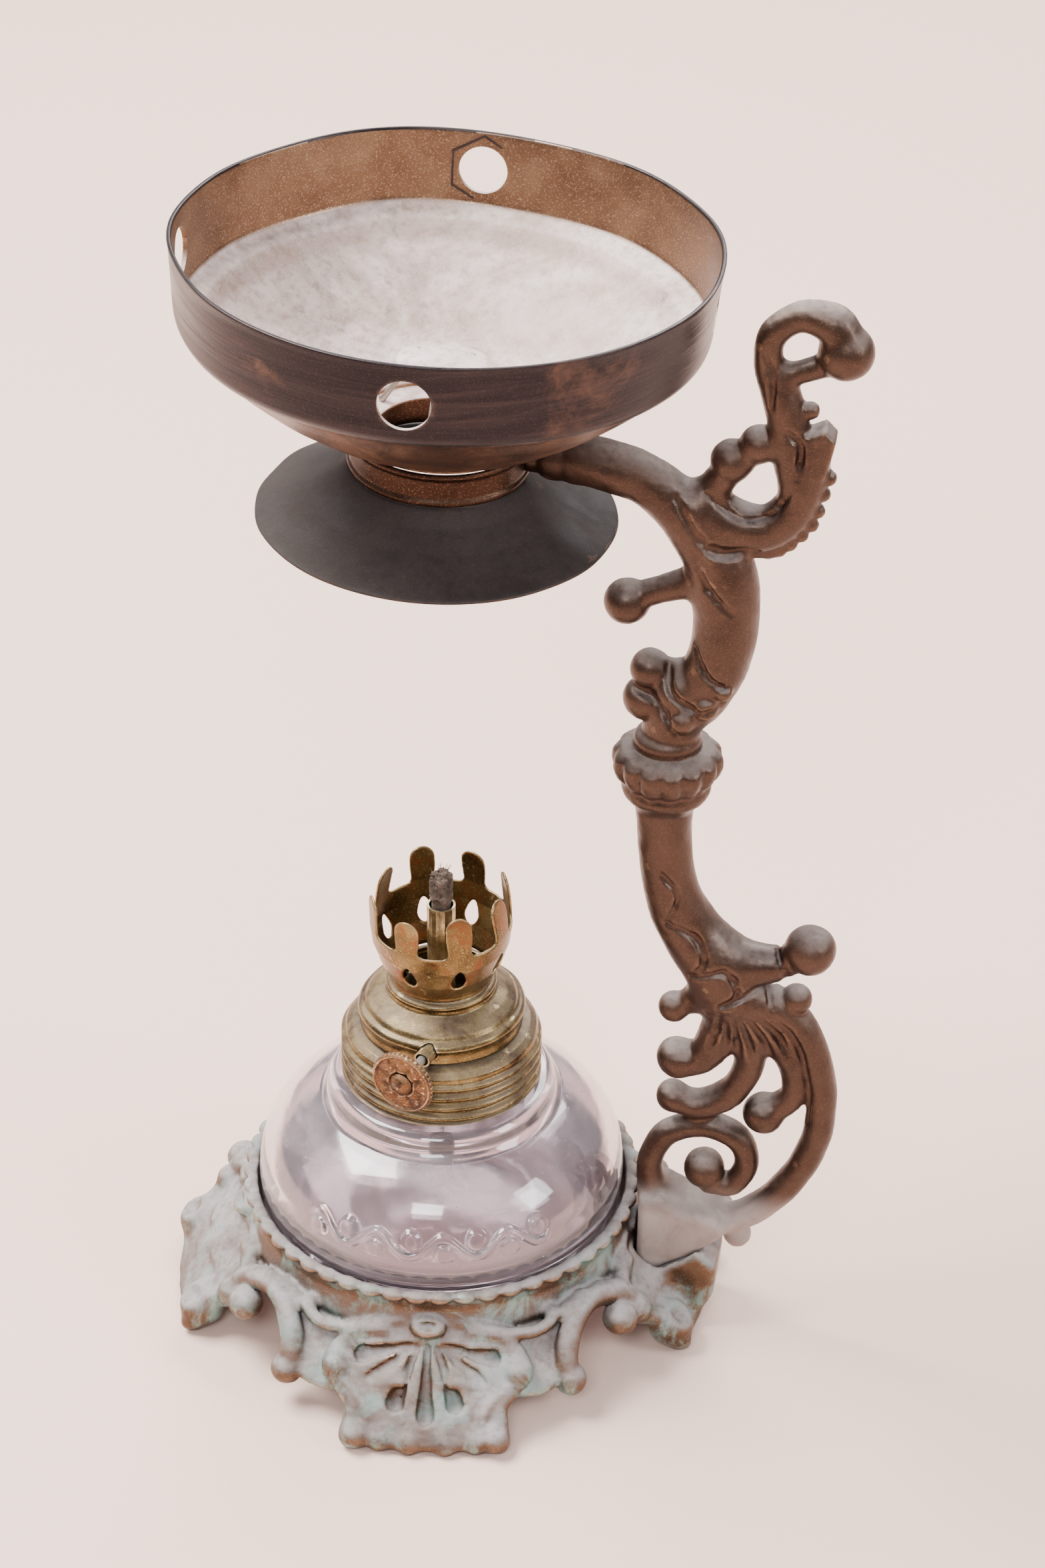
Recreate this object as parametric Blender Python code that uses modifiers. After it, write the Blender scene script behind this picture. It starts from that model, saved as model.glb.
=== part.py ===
"""A small antique vaporizer lamp: a glass oil font and wick burner in a four-footed cast base,
with a scrolled bracket that holds a shallow vaporizing pan and its heat cone over the flame.

Lengths are in millimetres and are turned into metres where a mesh is made. +Z is up, the table is
z = 0 and the front foot points along -Y. Shapes are drawn about the font's axis, and the empty
lamp_axis sets that axis so that the origin is at the middle of the whole lamp's footprint."""

import math

import bmesh
import bpy
from mathutils import Matrix, Vector

MM = 0.001
GAP = 0.3  # clearance between two touching pieces
LAMP_AXIS_X = -8.9

# Cast base
FOOT_AZIMUTHS = {"front": -90.0, "right": -7.0, "back": 90.0, "left": 187.0}
SCROLL_FEET = ("front", "back")  # these carry the low scroll balls, the side feet carry the high knobs
RING_INNER_R = 28.8
BEAD_R = 30.8
BEAD_Z = 20.6
LEDGE_Z = 11.7
LEDGE_INNER_R = 22.0
FOOT_TOP_R, FOOT_REACH = 29.6, 13.0
FOOT_TOP_Z = 16.0
SHELL_THICKNESS = 2.2

# Glass font
FONT_R = RING_INNER_R - GAP
FONT_BASE_Z = LEDGE_Z + GAP
FONT_WIDEST_Z = 23.5
GLASS_WALL = 2.6
NECK_R = 12.7
NECK_TOP_Z = 49.3

# Burner
SKIRT_R = 14.7
DECK_Z = 51.0
DOME_BASE_Z = DECK_Z + GAP
DOME_TOP_Z = 59.2
CROWN_BASE_R, CROWN_TOP_R = 7.7, 10.6
CROWN_TOP_Z = 75.8
PRONGS = 8
PRONG_TURN = 19.5
VENT_REACH, VENT_AZIMUTH = 7.2, 150.0
TUBE_R, TUBE_BORE_R = 2.15, 1.85
TUBE_BOTTOM_Z, TUBE_TOP_Z = 45.0, 72.0
WICK_R = 1.55
WICK_TOP_Z = 77.5

# Wick winder
SPINDLE_AZIMUTH = -114.0
SPINDLE_OFFSET = 3.9  # from the wick's axis to the spindle's
SPINDLE_Z = 53.4
SPINDLE_R = 0.7
SPROCKET_R = 1.95
KNOB_R = 5.0
KNOB_REACH = 19.0
BEARING_PLAY = 0.35

# Bracket, in its own upright plane
BRACKET_AZIMUTH = -7.0
BRACKET_NECK_X = 33.1
LUG_HALF_THICKNESS = 4.2
LUG_SCREW_X = 37.5
SEAM = ((33.0, 8.1), (41.4, 14.2))

# Pan, collar and cone share one axis that leans a little towards the bracket
PAN_LEAN = 2.2
COLLAR_Z = 148.8
COLLAR_R, COLLAR_BORE_R = 12.4, 11.8
COLLAR_HALF_HEIGHT = 2.4
PAN_RIM_R, PAN_RIM_Z = 36.9, 180.0
PAN_FLANGE_R = 9.0
PAN_HOLE_R = 3.5
PAN_HOLE_Z = 174.3
PAN_HOLE_TURN = 2.5
PAN_FLANGE_TOP_Z = 152.1
BAFFLE_R, BAFFLE_Z = 6.3, 162.2
CONE_R, CONE_RIM_Z = 25.3, 139.2


def clear_scene():
    for obj in list(bpy.data.objects):
        bpy.data.objects.remove(obj)


def hidden_collection(name):
    found = bpy.data.collections.new(name)
    bpy.context.scene.collection.children.link(found)
    found.hide_render = True
    return found


def material(name, colour, roughness, metallic):
    made = bpy.data.materials.new(name)
    made.use_nodes = True
    shader = made.node_tree.nodes["Principled BSDF"]
    shader.inputs["Base Color"].default_value = (*colour, 1.0)
    shader.inputs["Roughness"].default_value = roughness
    shader.inputs["Metallic"].default_value = metallic
    return made


def glass(name, colour, roughness):
    made = material(name, colour, roughness, 0.0)
    made.node_tree.nodes["Principled BSDF"].inputs["Transmission Weight"].default_value = 1.0
    return made


def place(obj, look=None, parent=None, helpers=None):
    """Links a finished object into the scene, or a helper into its hidden collection."""
    if helpers is None:
        bpy.context.scene.collection.objects.link(obj)
        obj.data.materials.append(look)
    else:
        helpers.objects.link(obj)
        obj.hide_render = True
        obj.display_type = "WIRE"
    obj.parent = parent or bpy.data.objects["lamp_axis"]
    return obj


def mesh_object(name, build, smooth=True):
    """An object whose mesh is filled by build(bm), drawn in millimetres."""
    mesh = bpy.data.meshes.new(name)
    bm = bmesh.new()
    build(bm)
    bmesh.ops.scale(bm, vec=(MM, MM, MM), verts=bm.verts)
    for face in bm.faces:
        face.smooth = smooth
    bm.to_mesh(mesh)
    bm.free()
    return bpy.data.objects.new(name, mesh)


def empty(name, location=(0, 0, 0), rotation=None, parent=None):
    made = bpy.data.objects.new(name, None)
    made.location = Vector(location) * MM
    if rotation is not None:
        made.rotation_euler = rotation
    bpy.context.scene.collection.objects.link(made)
    made.parent = parent
    return made


def turned(name, profile, steps):
    """A profile of (radius, height) turned about Z, running down the outside and closed if hollow."""

    def draw(bm):
        points = [bm.verts.new((radius, 0, height)) for radius, height in profile]
        for first, second in zip(points, points[1:]):
            bm.edges.new((first, second))
        if profile[0][0] > 0:
            bm.edges.new((points[-1], points[0]))

    obj = mesh_object(name, draw)
    screw = obj.modifiers.new("turn", "SCREW")
    screw.axis = "Z"
    screw.steps = screw.render_steps = steps
    screw.use_merge_vertices = True
    screw.merge_threshold = 1e-5
    screw.use_smooth_shade = True
    return obj


def rod(name, start, end, radius, sides=16):
    """A straight round bar between two points."""
    start, end = Vector(start), Vector(end)
    along = end - start
    turn = along.to_track_quat("Z", "Y").to_matrix().to_4x4()
    aim = Matrix.Translation((start + end) / 2) @ turn

    def draw(bm):
        bmesh.ops.create_cone(
            bm, cap_ends=True, segments=sides, radius1=radius, radius2=radius, depth=along.length,
            matrix=aim,
        )

    return mesh_object(name, draw)


def box(name, low, high):
    low, high = Vector(low), Vector(high)

    def draw(bm):
        bmesh.ops.create_cube(bm, size=1.0)
        bmesh.ops.scale(bm, vec=high - low, verts=bm.verts)
        bmesh.ops.translate(bm, vec=(low + high) / 2, verts=bm.verts)

    return mesh_object(name, draw, smooth=False)


def ball(name, centre, radius, stretch=(1, 1, 1)):
    def draw(bm):
        bmesh.ops.create_uvsphere(bm, u_segments=8, v_segments=6, radius=radius)
        bmesh.ops.scale(bm, vec=stretch, verts=bm.verts)
        bmesh.ops.translate(bm, vec=centre, verts=bm.verts)

    return mesh_object(name, draw)


def as_mesh(obj):
    """The mesh of a curve object, welded, as a new object."""
    bpy.context.scene.collection.objects.link(obj)
    graph = bpy.context.evaluated_depsgraph_get()
    mesh = bpy.data.meshes.new_from_object(obj.evaluated_get(graph))
    name = obj.name
    bpy.data.objects.remove(obj)
    bm = bmesh.new()
    bm.from_mesh(mesh)
    bmesh.ops.remove_doubles(bm, verts=bm.verts, dist=1e-6)
    bmesh.ops.recalc_face_normals(bm, faces=bm.faces)
    bm.to_mesh(mesh)
    bm.free()
    return bpy.data.objects.new(name, mesh)


def scroll(name, stations):
    """A cast branch through stations of (x, y, z, radius)."""
    curve = bpy.data.curves.new(name, "CURVE")
    curve.dimensions = "3D"
    curve.bevel_depth = MM
    curve.bevel_resolution = 1
    curve.use_fill_caps = True
    spline = curve.splines.new("POLY")
    spline.points.add(len(stations) - 1)
    for point, (x, y, z, radius) in zip(spline.points, stations):
        point.co = (x * MM, y * MM, z * MM, 1)
        point.radius = radius
    return as_mesh(bpy.data.objects.new(name, curve))


def plate(name, outline, half_thickness):
    """A flat casting with an outline of (x, z), standing in the XZ plane."""
    curve = bpy.data.curves.new(name, "CURVE")
    curve.dimensions = "2D"
    curve.fill_mode = "BOTH"
    curve.extrude = half_thickness * MM
    spline = curve.splines.new("POLY")
    spline.points.add(len(outline) - 1)
    spline.use_cyclic_u = True
    for point, (x, z) in zip(spline.points, outline):
        point.co = (x * MM, z * MM, 0, 1)
    made = as_mesh(bpy.data.objects.new(name, curve))
    made.data.transform(Matrix.Rotation(math.radians(90), 4, "X"))
    return made


def join(obj, others, operation="UNION"):
    """Adds or cuts every object of a hidden collection."""
    boolean = obj.modifiers.new(operation.lower(), "BOOLEAN")
    boolean.operation = operation
    boolean.solver = "EXACT"
    boolean.operand_type = "COLLECTION"
    boolean.collection = others


def around(radius, azimuth, height):
    angle = math.radians(azimuth)
    return Vector((radius * math.cos(angle), radius * math.sin(angle), height))


# ---------------------------------------------------------------- cast base


def foot_half_width(along):
    """The shell's half width: narrow at the button, broad at the lobes, waisted over the toe."""
    stations = (
        (0.0, 6.0), (0.15, 11.0), (0.35, 15.2), (0.5, 16.3), (0.62, 14.5), (0.74, 11.6), (0.86, 12.4),
        (1.0, 12.2),
    )
    for (low, first), (high, second) in zip(stations, stations[1:]):
        if along <= high:
            return first + (second - first) * (along - low) / (high - low)
    return stations[-1][1]


def shell_foot(name, azimuth):
    """A scallop shell that slopes from the ring down to the table, bent round the font's axis."""

    def draw(bm):
        bmesh.ops.create_grid(bm, x_segments=6, y_segments=8, size=1.0)
        for vert in bm.verts:
            across, along = vert.co.x, (1 - vert.co.y) / 2
            radius = FOOT_TOP_R + FOOT_REACH * along
            height = FOOT_TOP_Z - 9.0 * along - 5.4 * along**2 - 1.0 * across**2 * (1 - along)
            turn = math.degrees(across * foot_half_width(along) / radius)
            vert.co = around(radius, azimuth + turn, height)
        bmesh.ops.recalc_face_normals(bm, faces=bm.faces)
        face = next(iter(bm.faces))
        if face.normal.z < 0:
            bmesh.ops.reverse_faces(bm, faces=bm.faces)

    obj = mesh_object(name, draw)
    solid = obj.modifiers.new("thickness", "SOLIDIFY")
    solid.thickness = SHELL_THICKNESS * MM
    solid.offset = -1.0
    return obj


def toe_pad(name, azimuth):
    """The flat pad under a shell's toe that stands on the table."""
    pad = box(name, (37.2, -11.0, 0.0), (41.0, 11.0, 2.4))
    pad.data.transform(Matrix.Rotation(math.radians(azimuth), 4, "Z"))
    return pad


def foot_scrolls(name, azimuth, side, low):
    """One side's scroll: the arch and low ball of a front or back foot, or a side foot's curled knob."""
    if low:
        stations = (
            (58, 34.0, 11.4, 1.6), (54, 33.0, 14.0, 1.8), (48, 32.6, 14.8, 1.8), (42, 33.3, 14.2, 1.8),
            (38, 34.6, 12.4, 1.8), (35.4, 35.9, 9.8, 1.8), (34.8, 37.0, 7.2, 1.7),
        )
        end, radius = (35.2, 37.3, 6.1), 2.5
        inner = ((38, 34.4, 12.4, 1.6), (28, 33.4, 12.8, 1.8), (18, 32.4, 12.8, 1.4))
    else:
        stations = ((36, 31.0, 14.0, 1.6), (28, 32.8, 13.8, 1.7), (24, 34.6, 11.6, 1.8), (27, 35.4, 10.4, 1.6))
        end, radius = (29, 35.6, 10.4), 2.6
        inner = ((26, 33.4, 12.0, 1.6), (17, 33.0, 11.4, 1.6))
    pieces = []
    for index, branch in enumerate((stations, inner)):
        points = [(*around(r, azimuth + side * turn, z), width) for turn, r, z, width in branch]
        pieces.append(scroll(f"{name}_{index}", points))
    turn, r, z = end
    pieces.append(ball(f"{name}_end", around(r, azimuth + side * turn, z), radius))
    return pieces


def base_casting(look):
    ring = turned(
        "base_casting",
        [
            (RING_INNER_R, 21.5), (29.7, BEAD_Z + 1.1), (30.5, BEAD_Z + 0.7), (BEAD_R, BEAD_Z),
            (30.5, BEAD_Z - 0.7), (30.0, 19.3), (30.2, 17.2), (30.9, 15.0), (30.9, 13.6), (30.0, 12.4),
            (30.0, LEDGE_Z - 1.4), (LEDGE_INNER_R, LEDGE_Z - 1.4), (LEDGE_INNER_R, LEDGE_Z),
            (RING_INNER_R, LEDGE_Z),
        ],
        36,
    )
    added = hidden_collection("base_additions")
    for foot, azimuth in FOOT_AZIMUTHS.items():
        place(shell_foot(f"{foot}_shell", azimuth), helpers=added)
        place(toe_pad(f"{foot}_pad", azimuth), helpers=added)
        place(ball(f"{foot}_button", around(30.6, azimuth, 14.6), 2.4), helpers=added)
        for side in (-1, 1):
            scrolls = foot_scrolls(f"{foot}_scroll_{side}", azimuth, side, foot in SCROLL_FEET)
            for piece in scrolls:
                place(piece, helpers=added)
    (left_x, left_z), (right_x, right_z) = SEAM
    seat = plate(
        "bracket_seat",
        [
            (29.2, 14.0), (30.6, 9.4), (left_x, left_z - 2 * GAP), (right_x, right_z - 2 * GAP),
            (42.6, 9.0), (42.3, 1.6), (38.0, 1.2), (33.0, 4.0), (29.2, 9.0),
        ],
        LUG_HALF_THICKNESS + 0.4,
    )
    seat.data.transform(Matrix.Rotation(math.radians(BRACKET_AZIMUTH), 4, "Z"))
    place(seat, helpers=added)
    join(ring, added)
    drilled = hidden_collection("base_drilling")
    for way, radius, high in (("screw_way", 1.8, 16.0), ("screw_head_way", 3.1, 3.2)):
        low_end = around(LUG_SCREW_X, BRACKET_AZIMUTH, -1.0)
        place(rod(way, low_end, around(LUG_SCREW_X, BRACKET_AZIMUTH, high), radius), helpers=drilled)
    pocket = plate(
        "lug_pocket",
        [
            (31.2, 30.0), (31.2, 9.2), (left_x, left_z - 2 * GAP), (right_x, right_z - 2 * GAP),
            (50.0, 21.0), (50.0, 30.0),
        ],
        LUG_HALF_THICKNESS + GAP,
    )
    pocket.data.transform(Matrix.Rotation(math.radians(BRACKET_AZIMUTH), 4, "Z"))
    place(pocket, helpers=drilled)
    join(ring, drilled, "DIFFERENCE")
    place(ring, look)


# ---------------------------------------------------------------- bracket


BRANCHES = {
    "arm": [
        (12.9, 148.8, 2.1), (15.6, 148.8, 2.3), (16.0, 148.8, 3.0), (18.4, 148.8, 3.0),
        (19.2, 148.8, 3.4), (22.4, 148.7, 3.6), (28.4, 147.0, 3.5), (32.7, 143.9, 3.8),
        (36.5, 139.8, 4.4), (39.3, 134.8, 4.8), (40.4, 129.6, 4.8), (40.6, 125.3, 4.6),
        (39.9, 119.8, 4.5), (37.5, 114.0, 4.4), (34.3, 109.8, 4.3), (33.2, 105.4, 4.1),
    ],
    "leaf": [
        (36.5, 143.6, 3.6), (41.4, 141.2, 3.5), (45.7, 141.2, 3.2), (48.9, 144.2, 3.0),
        (50.6, 149.0, 2.8), (51.2, 153.4, 2.4),
    ],
    "hook": [
        (49.4, 148.6, 2.6), (48.6, 153.0, 2.9), (47.6, 158.0, 2.8), (46.2, 162.4, 2.6),
        (44.6, 166.6, 2.0), (45.2, 170.6, 2.0), (48.8, 173.2, 2.2), (53.0, 172.4, 2.6),
        (54.6, 169.2, 2.6),
    ],
    "hook_ledge": [(45.8, 164.2, 1.7), (49.2, 165.2, 1.6), (52.8, 166.8, 1.7)],
    "bud_stem": [(37.6, 146.0, 2.4), (40.8, 150.6, 2.2), (44.2, 153.7, 2.0), (48.4, 155.4, 1.9)],
    "curl_stem": [(39.0, 132.4, 2.6), (35.4, 131.4, 2.3), (31.3, 129.8, 2.0), (26.8, 127.8, 2.0)],
    "berry_stem": [(37.2, 114.6, 3.0), (33.0, 116.4, 2.4), (30.2, 116.6, 2.2)],
    "shaft": [
        (32.9, 95.6, 4.3), (33.0, 92.0, 4.1), (33.3, 86.1, 3.9), (34.6, 78.8, 4.1), (37.5, 72.3, 4.6),
        (41.2, 67.4, 5.2), (43.6, 62.4, 5.3), (45.2, 58.4, 4.4),
    ],
    "ball_arm": [(42.6, 67.4, 4.2), (49.1, 67.6, 3.0), (52.6, 68.9, 2.4), (55.0, 70.6, 2.3)],
    "left_stub": [(41.4, 61.6, 3.4), (38.0, 59.4, 2.1), (35.7, 58.0, 1.8)],
    "outer_c": [
        (44.6, 61.6, 3.6), (49.6, 60.6, 3.0), (54.0, 57.4, 2.6), (57.2, 51.0, 2.4), (58.6, 42.6, 2.3),
        (57.4, 33.4, 2.3), (53.4, 25.2, 2.3), (47.8, 19.4, 2.3), (42.6, 17.4, 2.6),
    ],
    "fan_left": [(44.4, 60.0, 3.8), (42.6, 53.9, 3.2), (40.2, 49.5, 2.7), (36.6, 48.2, 2.7)],
    "fan_middle": [
        (45.6, 60.0, 3.6), (47.3, 54.0, 2.9), (47.2, 48.4, 2.3), (44.8, 43.0, 2.3), (40.4, 40.2, 2.3),
        (36.0, 40.8, 2.1),
    ],
    "fan_right": [
        (46.8, 60.4, 3.6), (51.0, 55.0, 2.8), (53.8, 49.6, 2.2), (54.2, 43.9, 2.0), (50.6, 39.9, 2.2),
    ],
    "inner_c": [
        (34.4, 19.6, 2.6), (33.1, 24.0, 2.2), (33.0, 29.0, 2.0), (35.6, 34.0, 2.0), (41.2, 36.2, 2.0),
        (46.2, 34.2, 2.0), (47.7, 29.6, 1.9), (45.8, 25.4, 1.9), (42.2, 25.2, 2.0),
    ],
}
BALLS = {
    "hook_ball": (54.7, 168.6, 3.8), "leaf_bead": (50.2, 159.4, 1.3), "upper_bud": (43.9, 153.8, 2.7),
    "lower_bud": (40.4, 151.0, 3.0), "curl_ball": (26.6, 127.4, 3.3), "top_berry": (30.2, 116.8, 2.9),
    "low_berry": (29.6, 111.8, 3.2), "side_berry": (35.0, 113.8, 4.6), "elbow_ball": (55.3, 70.9, 3.8),
    "shoulder_bead": (53.8, 61.8, 2.4), "left_bead": (35.5, 57.9, 2.4),
    "fan_left_ball": (36.4, 48.4, 3.2), "fan_middle_ball": (36.0, 41.0, 2.6),
    "fan_right_ball": (49.9, 39.7, 3.2), "inner_ball": (41.2, 27.6, 3.2),
    "under_bead": (46.9, 15.4, 2.2),
}


def bracket_knop():
    """The turned-looking knop at the middle of the upright: a ring, a bulb and a smaller ring."""
    knop = turned(
        "knop",
        [
            (0.0, 107.0), (4.2, 107.0), (4.9, 106.2), (4.9, 105.2), (4.4, 104.6), (6.6, 104.2),
            (7.9, 103.0), (8.1, 101.6), (7.5, 99.8), (6.4, 98.6), (6.1, 98.0), (6.3, 97.2), (6.1, 96.4),
            (4.8, 95.4), (4.2, 94.2), (0.0, 94.2),
        ],
        18,
    )
    knop.location.x = BRACKET_NECK_X * MM
    return knop


def bracket_casting(look, frame):
    (left_x, left_z), (right_x, right_z) = SEAM
    lug = plate(
        "bracket_casting",
        [
            (31.6, 23.2), (31.6, 9.4), (left_x, left_z), (right_x, right_z), (44.0, 16.4), (45.6, 18.6),
            (43.6, 21.0), (38.6, 21.6), (35.4, 23.4),
        ],
        LUG_HALF_THICKNESS,
    )
    added = hidden_collection("bracket_additions")
    place(bracket_knop(), parent=frame, helpers=added)
    for name, stations in BRANCHES.items():
        branch = scroll(name, [(x, 0, z, radius) for x, z, radius in stations])
        place(branch, parent=frame, helpers=added)
    for name, (x, z, radius) in BALLS.items():
        place(ball(name, (x, 0, z), radius), parent=frame, helpers=added)
    join(lug, added)
    drilled = hidden_collection("bracket_drilling")
    lug_hole = rod("lug_hole", (LUG_SCREW_X, 0, 4.0), (LUG_SCREW_X, 0, 19.0), 1.7)
    place(lug_hole, parent=frame, helpers=drilled)
    arm_hole = rod("arm_hole", (10.0, 0, COLLAR_Z), (18.2, 0, COLLAR_Z), 1.2)
    place(arm_hole, parent=frame, helpers=drilled)
    join(lug, drilled, "DIFFERENCE")
    place(lug, look, frame)


def bracket_screw(look, frame):
    """The machine screw that comes up through the right foot into the lug."""
    screw = turned(
        "bracket_screw",
        [
            (0.0, 18.2), (1.0, 18.2), (1.4, 17.6), (1.4, 3.0), (2.7, 2.9), (2.7, 1.6), (1.6, 1.0),
            (0.0, 1.0),
        ],
        16,
    )
    screw.location.x = LUG_SCREW_X * MM
    place(screw, look, frame)


def arm_screw(look, frame):
    """The round-headed screw that goes out through the collar wall into the arm's end."""
    profile = [(0.0, 7.0), (0.9, 7.0), (0.9, 0.8), (2.0, 0.8), (1.7, 0.2), (0.9, -0.2), (0.0, -0.3)]
    screw = turned("arm_screw", profile, 12)
    screw.rotation_euler = (0, math.radians(90), 0)
    screw.location = Vector((COLLAR_BORE_R - GAP - 0.8, 0, COLLAR_Z)) * MM
    place(screw, look, frame)


# ---------------------------------------------------------------- pan, collar and cone


def pan_height(z):
    """Height above the collar's middle, where the leaning assembly has its origin."""
    return z - COLLAR_Z


def lifted(profile):
    return [(radius, pan_height(z)) for radius, z in profile]


def pan_gallery(look, lean):
    sheet = 0.6
    under = [
        (36.3, 169.2), (35.7, 168.2), (34.0, 167.4), (31.4, 164.6), (27.0, 160.8), (21.6, 157.0),
        (16.6, 154.2), (13.4, 152.9), (12.6, 152.2), (12.6, PAN_FLANGE_TOP_Z - sheet),
    ]
    over = [
        (PAN_FLANGE_R, PAN_FLANGE_TOP_Z - sheet), (PAN_FLANGE_R, PAN_FLANGE_TOP_Z),
        (12.0, PAN_FLANGE_TOP_Z), (12.1, 152.7), (13.0, 153.5), (16.3, 154.9), (21.2, 157.6),
        (26.6, 161.5), (30.9, 165.2), (33.4, 168.1), (35.2, 169.0), (35.8, 169.8),
    ]
    profile = [(PAN_RIM_R, PAN_RIM_Z)] + under + over + [(PAN_RIM_R - sheet, PAN_RIM_Z)]
    pan = turned("pan_gallery", lifted(profile), 32)
    punched = hidden_collection("pan_punching")
    height = pan_height(PAN_HOLE_Z)
    for quarter in range(4):
        azimuth = PAN_HOLE_TURN + 90 * quarter
        inside, outside = around(32.0, azimuth, height), around(41.0, azimuth, height)
        punch = rod(f"pan_punch_{quarter}", inside, outside, PAN_HOLE_R, 14)
        place(punch, parent=lean, helpers=punched)
    join(pan, punched, "DIFFERENCE")
    place(pan, look, lean)


def baffle_disc(look, lean):
    """The small disc over the throat, on three wire legs that stand on the pan's flange."""
    middle, half = pan_height(BAFFLE_Z), 0.4
    top, bottom = middle + half, middle - half
    profile = [(0.0, top), (BAFFLE_R - half, top), (BAFFLE_R, middle), (BAFFLE_R - half, bottom)]
    disc = turned("baffle_disc", profile + [(0.0, bottom)], 20)
    legs = hidden_collection("baffle_legs")
    foot = pan_height(PAN_FLANGE_TOP_Z + GAP)
    for index in range(3):
        azimuth = 30 + 120 * index
        bends = ((4.6, middle), (5.2, middle - 1.6), (10.4, foot + 1.0), (10.6, foot))
        wire = [(*around(reach, azimuth, height), 0.5) for reach, height in bends]
        place(scroll(f"baffle_leg_{index}", wire), parent=lean, helpers=legs)
    join(disc, legs)
    place(disc, look, lean)


def neck_collar(look, lean):
    half = COLLAR_HALF_HEIGHT
    profile = [(COLLAR_R, half), (COLLAR_R, -half), (COLLAR_BORE_R, -half), (COLLAR_BORE_R, half)]
    collar = turned("neck_collar", profile, 32)
    drilled = hidden_collection("collar_drilling")
    place(rod("collar_hole", (9.0, 0, 0), (15.0, 0, 0), 1.4), parent=lean, helpers=drilled)
    join(collar, drilled, "DIFFERENCE")
    place(collar, look, lean)


def heat_cone(look, lean):
    sheet = 0.5
    top = COLLAR_Z - COLLAR_HALF_HEIGHT - GAP
    profile = [
        (12.4, top), (13.0, top - 0.5), (14.6, top - 1.9), (18.0, top - 4.0), (21.8, top - 5.6),
        (CONE_R, CONE_RIM_Z), (CONE_R - 0.2, CONE_RIM_Z - sheet), (21.6, top - 6.2), (17.6, top - 4.6),
        (14.0, top - 2.4), (12.4, top - 1.0), (12.0, top - 0.6), (PAN_FLANGE_R, top - 0.6),
        (PAN_FLANGE_R, top),
    ]
    place(turned("heat_cone", lifted(profile), 30), look, lean)


# ---------------------------------------------------------------- font and burner


def arc(centre, size, first, last, count):
    """Points (radius, height) on an ellipse, between two angles in degrees."""
    points = []
    for index in range(count):
        angle = math.radians(first + (last - first) * index / (count - 1))
        radius = centre[0] + size[0] * math.cos(angle)
        points.append((radius, centre[1] + size[1] * math.sin(angle)))
    return points


def glass_font(look):
    middle = (12.0, FONT_WIDEST_Z)
    bulge, depth = FONT_R - middle[0], FONT_WIDEST_Z - FONT_BASE_Z
    outside = [(NECK_R - 0.4, NECK_TOP_Z), (NECK_R, NECK_TOP_Z - 0.4), (NECK_R, 41.4)]
    outside += [(16.6, 41.2), (17.4, 40.5), (17.4, 38.3)]
    outside += arc(middle, (bulge, 15.2), 66, 0, 6)
    outside += arc(middle, (bulge, depth), -28, -78, 4)
    outside += [(14.0, FONT_BASE_Z), (9.0, FONT_BASE_Z + 1.4), (0.0, FONT_BASE_Z + 1.8)]
    inside = [(0.0, FONT_BASE_Z + 4.6), (10.0, FONT_BASE_Z + 4.2)]
    inside += arc(middle, (bulge - GLASS_WALL, depth - 3.4), -80, 0, 4)
    inside += arc(middle, (bulge - GLASS_WALL, 12.0), 25, 78, 4)
    inside += [(11.0, 36.6), (NECK_R - GLASS_WALL, 38.6), (NECK_R - GLASS_WALL, NECK_TOP_Z)]
    profile = outside + inside
    # The outline starts and ends on the neck's top, and its push-up touches the axis at two heights.
    split = profile.index((0.0, FONT_BASE_Z + 1.8))
    ordered = profile[split + 1 :] + profile[: split + 1]
    place(turned("glass_font", ordered, 28), look)


def burner_gasket(look):
    """The cork washer between the neck's top and the underside of the skirt's deck."""
    low, high = NECK_TOP_Z + 0.25, NECK_TOP_Z + 0.85
    profile = [(13.1, high), (13.1, low), (10.6, low), (10.6, high)]
    place(turned("burner_gasket", profile, 24), look)


def burner_skirt(look):
    """The threaded cap: rolled thread ridges outside and a deck with a hole for the wick tube."""
    ridges = []
    for index in range(4):
        crest = 48.2 - 1.85 * index
        ridges += [(SKIRT_R + 0.6, crest), (SKIRT_R, crest - 0.9)]
    profile = [(TUBE_R + GAP, DECK_Z), (12.6, DECK_Z), (13.8, DECK_Z - 0.3), (14.6, DECK_Z - 1.0)]
    profile += [(SKIRT_R, 49.2)] + ridges + [(SKIRT_R + 0.5, 41.8)]
    profile += [(13.7, 41.8), (13.7, DECK_Z - 0.6), (TUBE_R + GAP, DECK_Z - 0.6)]
    skirt = turned("burner_skirt", profile, 28)
    drilled = hidden_collection("deck_drilling")
    low, high = (around(VENT_REACH, VENT_AZIMUTH, height) for height in (45.0, 55.0))
    place(rod("vent_way", low, high, 1.4, 12), helpers=drilled)
    join(skirt, drilled, "DIFFERENCE")
    place(skirt, look)


def spindle_frame():
    """The winder axis: local +Z points out along the spindle to the knob, from beside the wick."""
    side = around(SPINDLE_OFFSET, SPINDLE_AZIMUTH + 90, SPINDLE_Z)
    turn = (math.radians(90), 0, math.radians(SPINDLE_AZIMUTH + 90))
    return empty("winder_axis", side, turn, bpy.data.objects["lamp_axis"])


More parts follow.
